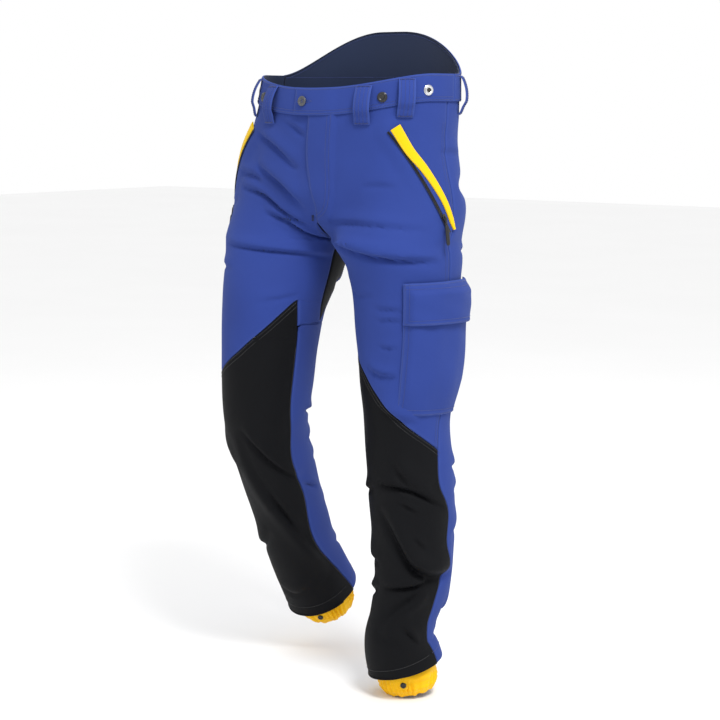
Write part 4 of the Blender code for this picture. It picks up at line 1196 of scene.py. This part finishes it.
def welt(word, side):
    base, facing, across = welt_line(side)
    run = np.linspace(0, 1, len(base))
    width = np.linspace(*WELT_WIDTHS, len(base)) * (1 - 0.45 * smooth((run - 0.93) / 0.07))
    s = np.array((-0.5, -0.485, -0.45, -0.35, -0.15, 0.0, 0.15, 0.35, 0.45, 0.485, 0.5))
    crown = 0.0012 * np.sqrt(np.clip(1 - (2 * np.abs(s)) ** 8, 0, 1)) - 0.0012 + 0.0007 * (1 - (2 * s) ** 2)
    aside = s[None] * width[:, None]
    flat = base[:, None] + across[:, None] * aside[..., None]
    outer, inner = (flat + facing[:, None] * height for height in ((0.0034 + crown)[None, :, None], 0.0010))
    parts = Parts()
    shell(parts, outer, inner, (0, 0), grid_uv(aside, 0.2 * run[:, None]), flip=True)
    for line in (-0.38, 0.38):
        way = base + across * (line * width)[:, None] + facing * 0.0038
        stitch_path(parts, way[1:-2], facing[1:-2], 1)
    place(parts.made(f"{word}_welt", ("yellow", "yellow_thread")), [f"{word}_pocket_welt"], "seat",
          slot="trim_yellow")


def zip_strip(word, side):
    """The zip's tape and teeth along its arc, and blue facing from the tape to the welt."""
    count = 120
    order = np.arange(count)
    arc, up = zip_arc(side, count)
    across = frames(arc, up)[1]
    base, facing, _ = welt_line(side)
    fine = np.linspace(0, len(base) - 1, 900)
    under, under_up = (read_rows(fine, np.arange(len(base)), rows) for rows in (base, facing))
    nearest = np.linalg.norm(arc[:, None] - under[None], axis=2).argmin(1)
    sewn = under[nearest] + under_up[nearest] * 0.0008
    reach = np.linalg.norm(sewn - arc, axis=1)
    to_welt = (sewn - arc) / reach[:, None]
    narrow = np.linspace(0.42, 1.0, count)
    half, middle = 0.0034 * narrow, arc - up * 0.0008
    free = middle - to_welt * half[:, None]
    bare = middle + to_welt * np.minimum(half, reach * 0.5)[:, None]
    s = np.linspace(0, 1, 5)
    parts = Parts()
    for near, far, look in ((free, bare, 0), (bare, sewn, 3)):
        outer = near[:, None] + (far - near)[:, None] * s[None, :, None]
        shell(parts, outer, outer - up[:, None] * 0.0006, (look, look),
              grid_uv(s[None] * 0.0088, np.linspace(0, 0.2, count)[:, None]),
              flip=bool(across[count // 2] @ to_welt[count // 2] > 0))
    length = np.linalg.norm(np.diff(arc, axis=0), axis=1).sum()
    at = np.linspace(0.5, count - 1.5, round(length / 0.0014))
    spots, off, way = (read_rows(at, order, rows) for rows in (arc, up, across))
    for aside, first in ((-0.00095, 0), (0.00095, 1)):
        teeth = spots + way * aside - off * 0.00035
        stitch_row(parts, teeth[first:], way[first:], off[first:], 1, 0.0026, 0.00052)
    for aside in (-0.0036, 0.0036):
        stitch_path(parts, arc + across * (aside * narrow)[:, None] - up * 0.0007, up, 2)
    place(parts.made(f"{word}_zip_strip", ("tape", "coil", "black_thread", "blue")), [f"{word}_pocket_zip"],
          "seat", slot="zip_tape")


def slider_frame(side):
    """The middle of a hip pocket's slider at rest, the way it runs and the way off the cloth."""
    places, facing = zip_arc(side, 15)
    ahead, up = frames(places, facing)[0][SLIDER_AT], facing[SLIDER_AT]
    return places[SLIDER_AT] + up * (SLIDER_CLEAR + SLIDER_THICK / 2), unit(ahead - up * up.dot(ahead)), up


def zip_slider(word, side):
    centre, ahead, up = slider_frame(side)
    parts = Parts()
    pod(parts, centre, ahead, up, (
        (-0.0060, 0.0016, 0.0009, 0), (-0.0056, 0.0024, 0.0012, 0), (-0.0040, 0.0032, 0.0013, 0),
        (-0.0010, 0.0033, 0.0013, 0), (0.0030, 0.0034, 0.0013, 0), (0.0052, 0.0029, 0.0012, 0),
        (0.0060, 0.0020, 0.0008, 0)))
    bridge = ((0.0042, 0.0008, 0.0003, 0.0009), (0.0036, 0.0009, 0.0006, 0.0014),
                   (0.0018, 0.0010, 0.0006, 0.0020))
    pod(parts, centre, ahead, up, [(-run, *rest) for run, *rest in bridge] + list(bridge[::-1]))
    place(parts.made(f"{word}_zip_slider", ("enamel",)), [f"{word}_pocket_slider"], f"{word}_zip_car",
          slot="black_metal")


def zip_puller(word, side):
    centre, _, up = slider_frame(side)
    hang = unit(up * up[2] - (0, 0, 1.0))
    pivot = centre + up * (SLIDER_THICK / 2 + PULLER_THICK / 2 + 0.0008)
    parts = Parts()
    for aside in (-0.0011, 0.0011):
        pod(parts, pivot + np.cross(hang, up) * aside, hang, up,
            ((0.0000, 0.0005, 0.0005, 0), (0.0006, 0.0007, 0.0007, 0), (0.0130, 0.0007, 0.0007, 0),
             (0.0140, 0.0005, 0.0005, 0)), 1, 2.0, 12)
    pod(parts, pivot + hang * 0.0305, hang, up, rounded_sections(0.0350, 0.0080, 0.0036, 0.0050), 0, 2.6, 24)
    for ridge in np.linspace(0.0190, 0.0420, 9):
        pod(parts, pivot + hang * ridge, hang, up,
            ((-0.0008, 0.0036, 0.0015, 0), (0, 0.0042, 0.0021, 0), (0.0008, 0.0036, 0.0015, 0)), 0, 2.6, 24)
    place(parts.made(f"{word}_zip_puller", ("rubber", "black_thread")), [f"{word}_pocket_puller"],
          f"{word}_zip_tag", slot="zip_tape")


def pocket_bag(word, side):
    parts = Parts()
    lift = -0.0040
    panel(parts, side, 0.20, 0.46, -0.085, -0.215, "rrrr", looks=(0, 0), lift=lift, thick=0.0012)
    for u in (0.207, 0.453):
        z = np.linspace(-0.210, -0.090, 40)
        stitch(parts, side, np.full_like(z, u), z, lift, 1)
    u = np.linspace(0.207, 0.453, 60)
    stitch(parts, side, u, np.full_like(u, -0.211), lift, 1)
    place(parts.made(f"{word}_bag", ("pocketing", "black_thread")), [f"{word}_pocket_bag"], "seat",
          slot="pocketing", cloth_of=parts, rests_on=[f"{word}_welt"])


# ---------------------------------------------------------------- fly
def fly():
    t = np.linspace(0, 1, 70)
    ends = point(+1, np.zeros(2), np.array((-0.070, -0.224)))
    line = ends[0] + (ends[1] - ends[0]) * t[:, None]
    ahead = unit(ends[1] - ends[0])
    outward = unit(np.cross(ahead, (1, 0, 0)))
    outward *= -np.sign(outward[1])
    right = np.cross(ahead, outward)
    s = np.linspace(-0.5, 0.5, 7)
    for name, width, lift, thick, looks, node, slot in (
            ("fly_zip_strip", 0.018, -0.0032, 0.0010, ("tape", "coil", "black_thread"), "fly_zip", "zip_tape"),
            ("fly_guard", 0.044, -0.0072, 0.0016, ("blue", "blue", "blue_thread_painted_groove_shade"), "fly_shield", "blue_cloth")):
        parts = Parts()
        outer = line[:, None] + right * (s * width)[None, :, None] + outward * lift
        shell(parts, outer, outer - outward * thick, (0, 0), grid_uv(s[None] * width, -t[:, None] * 0.18))
        if "zip" in name:
            spots = ends[0] + np.outer(np.arange(0.002, 0.178, 0.0022), ahead)
            for side_by in (-0.0011, 0.0011):
                stitch_row(parts, spots + right * side_by + outward * (lift + 0.0002),
                           np.broadcast_to(right, spots.shape), np.broadcast_to(outward, spots.shape), 1,
                           0.0030, 0.0007)
        for aside in (-0.45, 0.45):
            stitch_path(parts, line + right * aside * width + outward * (lift + 0.0001), outward)
        place(parts.made(name, looks), [node], "seat", slot=slot)
    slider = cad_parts["fly_slider"]
    slider.data.materials.clear()
    slider.data.materials.append(LOOKS["nickel"])


# ---------------------------------------------------------------- thigh pocket
def cargo_half(z):
    ring = along(LEG[+1], z)
    return CARGO_HALF_WIDTH / (2 * pi * (ring[..., 3] + ring[..., 4]) / 2)


def cargo_piece(parts, bottom, top, rise, thick, edge, lines, rows=60, wrinkle=1.0):
    """A puffed patch on the outer thigh, with stitches along lines of (s, t)."""
    s_fine = np.concatenate([(-1.0, -0.99, -0.975), np.linspace(-0.95, 0.95, 56), (0.975, 0.99, 1.0)])
    t_fine = np.concatenate([(0.0, 0.008, 0.02), np.linspace(0.04, 0.96, rows), (0.98, 0.992, 1.0)])

    def spot(s, t, more=0.0):
        z = bottom + (top - bottom) * t
        u = CARGO_U + s * cargo_half(z)
        sides = smooth((1 - np.abs(s)) / 0.22)
        ripple = (np.sin(5.1 * s + 3.0 * t) * np.sin(9.0 * t + 1.3 * s) * 0.0012
                  + np.sin(13.0 * s - 4.0 * t + 1.0) * 0.0004) * sides * wrinkle
        height = edge + rise(s, t) * sides + ripple + more
        return point(+1, u, z) + normal(+1, u, z) * height[..., None], normal(+1, u, z)

    s, t = np.meshgrid(s_fine, t_fine[::-1])
    near = np.minimum((1 - np.abs(s)) * CARGO_HALF_WIDTH, np.minimum(t, 1 - t) * (top - bottom))
    drop = ROLL * (1 - np.sqrt(np.clip(1 - np.clip(1 - near / 0.0035, 0, 1) ** 2, 0, 1)))
    outer, facing = spot(s, t, -drop)
    slope = unit(np.cross(np.gradient(outer, axis=0), np.gradient(outer, axis=1)))
    slope *= np.sign((slope * facing).sum(2, keepdims=True))
    inner = outer - (slope * 0.6 + facing * 0.4) * thick
    uv = np.stack([s * CARGO_HALF_WIDTH, t * (top - bottom)], -1)
    wear = 0.6 * np.exp(-((near - 0.002) / 0.003) ** 2)
    shell(parts, outer, inner, (0, 0), uv, wear)
    for route in lines:
        route = np.array(route, float)
        pieces = [np.linspace(a, b, 40)[:-1] for a, b in zip(route, route[1:])] + [route[-1:]]
        route = np.concatenate(pieces)
        path, up = spot(route[:, 0], route[:, 1], np.full(len(route), THREAD * 0.4))
        stitch_path(parts, path, up, 1)
    parts.grids.append(outer)


def cargo():
    parts = Parts()
    puff = lambda s, t: CARGO_DEPTH * smooth(t / 0.30) * (1 - 0.35 * smooth((t - 0.80) / 0.20))
    cargo_piece(parts, CARGO_BOTTOM, CARGO_TOP, puff, 0.0022, 0.0031,
                [[(-0.965, 1), (-0.965, 0.015), (0.965, 0.015), (0.965, 1)],
                 [(-0.875, 1), (-0.875, 0.050), (0.875, 0.050), (0.875, 1)]])
    place(parts.made("thigh_pocket", ("blue", "blue_thread_painted_groove_shade")), ["cargo_pocket"], "left_upper_leg",
          slot="blue_cloth", cloth_of=parts, rests_on=["left_front", "left_back_upper"])
    parts = Parts()
    over = CARGO_DEPTH + 0.0036
    lid = lambda s, t: over - (over - 0.0005) * smooth((t - 0.70) / 0.30)
    cargo_piece(parts, FLAP_BOTTOM, FLAP_TOP, lid, 0.0022, 0.0068,
                [[(-0.960, 1), (-0.960, 0.040), (0.960, 0.040), (0.960, 1)],
                 [(-0.880, 1), (-0.880, 0.120), (0.880, 0.120), (0.880, 1)],
                 [(-0.99, 0.955), (0.99, 0.955)], [(-0.99, 0.860), (0.99, 0.860)]], rows=30, wrinkle=0.7)
    lid_piece = parts.made("thigh_pocket_flap", ("blue", "blue_thread_painted_groove_shade"))
    place(lid_piece, ["cargo_flap"], bend=("left_upper_leg", "pocket_flap", (0.20, -0.0126, -0.346),
                                           (0.20, -0.0126, -0.366)),
          slot="blue_cloth", cloth_of=parts, rests_on=["thigh_pocket"])


# ---------------------------------------------------------------- saw pads
def saw_pad(word, side):
    parts = Parts()
    top, bottom = -0.455, HEM[side] + 0.100
    s, t = np.linspace(0, 1, 70), np.linspace(0, 1, 170)
    across, down = np.meshgrid(s, t)
    u, z = 0.06 + 0.41 * across, top + (bottom - top) * down
    quilt = np.abs(np.sin(pi * across * 5)) ** 0.5 * np.abs(np.sin(pi * down * 11)) ** 0.5
    rim = smooth(np.minimum(np.minimum(across, 1 - across) / 0.04, np.minimum(down, 1 - down) / 0.015))
    facing = normal(side, u, z)
    rise = relief(side, u, z)
    outer = point(side, u, z) + facing * (rise - 0.0034 - 0.0008 * (1 - quilt) * rim)[..., None]
    inner = outer - facing * (0.0014 + 0.0058 * quilt * rim)[..., None]
    shell(parts, outer, inner, (0, 0), np.stack([u * TURN, z], -1), flip=side < 0)
    piece = parts.made(f"{word}_saw_pad", ("pad",))
    place(piece, [f"{word}_thigh_saw_pad", f"{word}_shin_saw_pad"], bend=KNEE_BEND[word], slot="saw_pad")


# ---------------------------------------------------------------- gaiters
def hem_frame(side):
    """The hem's centre, the leg's direction there and two directions square to it, outwards and backwards."""
    turn = np.linspace(0, 1, 33)[:-1]
    centre, higher = (point(side, turn, np.full(32, HEM[side] + up)).mean(0) for up in (0, 0.07))
    down = unit(centre - higher)
    out = np.array((side, 0, 0.0))
    out = unit(out - down * out.dot(down))
    return centre, down, out, np.cross(down, out) * -side


def gaiter(word, side):
    """An elastic inner gaiter: plain cloth above, gathered over its elastic below."""
    centre, down, out, back_way = hem_frame(side)
    angle = np.linspace(0, 2 * pi, 360, endpoint=False)
    past = np.concatenate([np.linspace(-0.080, 0.000, 22)[:-1], np.linspace(0.000, 0.044, 40)])[:, None]
    radius = along([(-a, r) for a, r in GAITER_PROFILE], -past[:, 0])[:, 1:]
    elastic = lambda width: sum(np.exp(-((past - at) / width) ** 2) for at in ELASTIC_ROWS)
    phase = 9 * np.sin(angle * 3 + side) + 4 * np.sin(angle * 5 + 2) + 60 * past * np.sin(angle * 2 + side)
    fine = 1.3 * np.abs(np.sin(15 * angle + phase * 0.22)) - 0.8
    fine = fine + 0.45 * np.sin(37 * angle + phase * 0.4 + 1.0)
    full = np.exp(-(((angle - 2 * pi * PUFF_AT[side] + pi) % (2 * pi) - pi) / 0.55) ** 2)
    fine = fine * (1 - 0.6 * smooth((past - 0.034) / 0.008))
    fine = fine * (1 - 0.75 * full * np.exp(-((past - 0.010) / 0.014) ** 2))
    gathers = 0.0022 * fine * (1 - 0.35 * elastic(0.0018)) - 0.0006 * elastic(0.0022)
    edge = (np.sin(13 * angle + 1.5 * side) + 0.4 * np.sin(21 * angle)) * 0.0010
    edge = edge * smooth((past - 0.028) / 0.016)
    billow = np.sin(4 * angle + 1.2 * side) * 0.0012 + np.sin(7 * angle + 0.5) * 0.0008
    billow = billow * smooth((past + 0.02) / 0.025) * (1 - smooth((past - 0.012) / 0.014))
    balloon = 0.0055 * full * np.exp(-((past - 0.006) / 0.010) ** 2)
    swell = radius + smooth((past - 0.006) / 0.012) * gathers + billow + balloon
    spokes = -out * np.cos(angle)[:, None] - back_way * np.sin(angle)[:, None]
    outer = centre + down * (past + edge + balloon * 0.8)[..., None] + spokes * swell[..., None]
    parts = Parts()
    shell(parts, outer, outer - spokes * 0.0014, (0, 0), grid_uv(angle[None] * 0.05, -past), ring=True,
          flip=side < 0)
    k = np.argmin(np.abs(past - ELASTIC_ROWS[-1]))
    closed = np.concatenate([spokes, spokes[:1]])
    stitch_path(parts, np.concatenate([outer[k], outer[k][:1]]) + closed * 0.0001, closed, 1)
    parts.grids.append(np.concatenate([outer, outer[:, :1]], 1))
    piece = parts.made(f"{word}_gaiter_gathered", ("gaiter", "yellow_thread"))
    place(piece, [f"{word}_gaiter"], f"{word}_cuff", slot="gaiter_cloth", cloth_of=parts, held="gathered",
          rests_on=[f"{word}_black", f"{word}_back_lower"])


def gaiter_snap(word, side):
    """The stud that hooks a gaiter to the boot, on its stitched patch."""
    centre, down, out, back_way = hem_frame(side)
    at = 2 * pi * HOOK_AT[side]
    facing = -out * cos(at) - back_way * sin(at)
    spot = centre + down * 0.020 + facing * 0.0535
    parts, r = Parts(), 0.0052
    turned(parts, spot - facing * 0.0020, facing, (
        (r * 0.5, 0), (r - 0.0004, 0.0002), (r, 0.0022), (r, 0.0034), (r - 0.0006, 0.0041),
        (r * 0.62, 0.0044), (r * 0.55, 0.0037), (r * 0.2, 0.0036)))
    up, right = -down, np.cross(-down, facing)
    patch = rounded_sections(0.0170, 0.0150, 0.0018, 0.0012)
    pod(parts, spot - facing * 0.0016, up, facing, patch, 1, 8.0, 32)
    corners = [spot + right * a * 0.0062 + up * b * 0.0070 - facing * 0.0006
               for a, b in ((-1, -1), (1, -1), (1, 1), (-1, 1), (-1, -1))]
    for a, b in zip(corners, corners[1:]):
        stitch_path(parts, a + (b - a) * np.linspace(0, 1, 12)[:, None], facing, 2)
    place(parts.made(f"{word}_gaiter_stud", ("enamel", "gaiter", "yellow_thread")), [f"{word}_gaiter_snap"],
          f"{word}_cuff", slot="black_metal")


# ---------------------------------------------------------------- camera, floor and light
TARGET = Vector((0, 0, -0.5))
CAMERA_AT, CAMERA_LENS = (38, 8, 3.3), 92      # azimuth, elevation and distance from the target
WORLD_LIGHT = 1.0
LAMPS = (("key", (62, 52, 3.0), 0.8, 62), ("rim", (190, 45, 3.0), 1.5, 8))
FLOOR_HALF, FLOOR_DROP = 14.0, 0.001


def aim(made, azimuth, elevation, distance):
    """Puts a camera or a lamp round the target, turned towards it."""
    az, el = radians(azimuth), radians(elevation)
    away = Vector((sin(az) * cos(el), -cos(az) * cos(el), sin(el)))
    made.location = TARGET + away * distance
    made.rotation_euler = away.to_track_quat("Z", "Y").to_euler()


def camera():
    made = put_in_scene("camera", bpy.data.cameras.new("camera"))
    made.data.lens = CAMERA_LENS
    aim(made, *CAMERA_AT)
    bpy.context.scene.camera = made
    bpy.context.scene.view_settings.view_transform = "Standard"


def floor():
    mesh = bpy.data.meshes.new("floor")
    half, low = FLOOR_HALF, CAD_BOX[0][2] - FLOOR_DROP
    mesh.from_pydata([(-half, -half, low), (half, -half, low), (half, half, low), (-half, half, low)], [],
                     [(0, 1, 2, 3)])
    made, tree, shader = nodes_of("pale_floor")
    place_at = add_node(tree, "ShaderNodeTexCoord").outputs["Object"]
    tone = blend_colour(tree, noise(tree, place_at, 1.5), (0.90, 0.90, 0.90), (0.93, 0.93, 0.93))
    tree.links.new(tone, shader.inputs["Base Color"])
    shader.inputs["Roughness"].default_value = 0.9
    mesh.materials.append(made)
    put_in_scene("floor", mesh)


def light():
    world = bpy.data.worlds.new("studio")
    world.use_nodes = True
    sky = world.node_tree.nodes["Background"]
    sky.inputs["Color"].default_value = (1, 1, 1, 1)
    sky.inputs["Strength"].default_value = WORLD_LIGHT
    bpy.context.scene.world = world
    for name, at, size, power in LAMPS:
        lamp = bpy.data.lights.new(name, "AREA")
        lamp.energy, lamp.size = power, size
        aim(put_in_scene(name, lamp), *at)


# ---------------------------------------------------------------- the whole scene
camera()
floor()
light()
for word, side in SIDES.items():
    for build in (front, back, black, gusset, welt, zip_strip, zip_slider, zip_puller, pocket_bag, saw_pad,
                  gaiter, gaiter_snap):
        build(word, side)
waistbands()
kidney()
for name, v in LOOPS.items():
    belt_loop(name, v)
waist_button()
brace_buttons()
fly()
cargo()
print("flat sizes", SIZES)
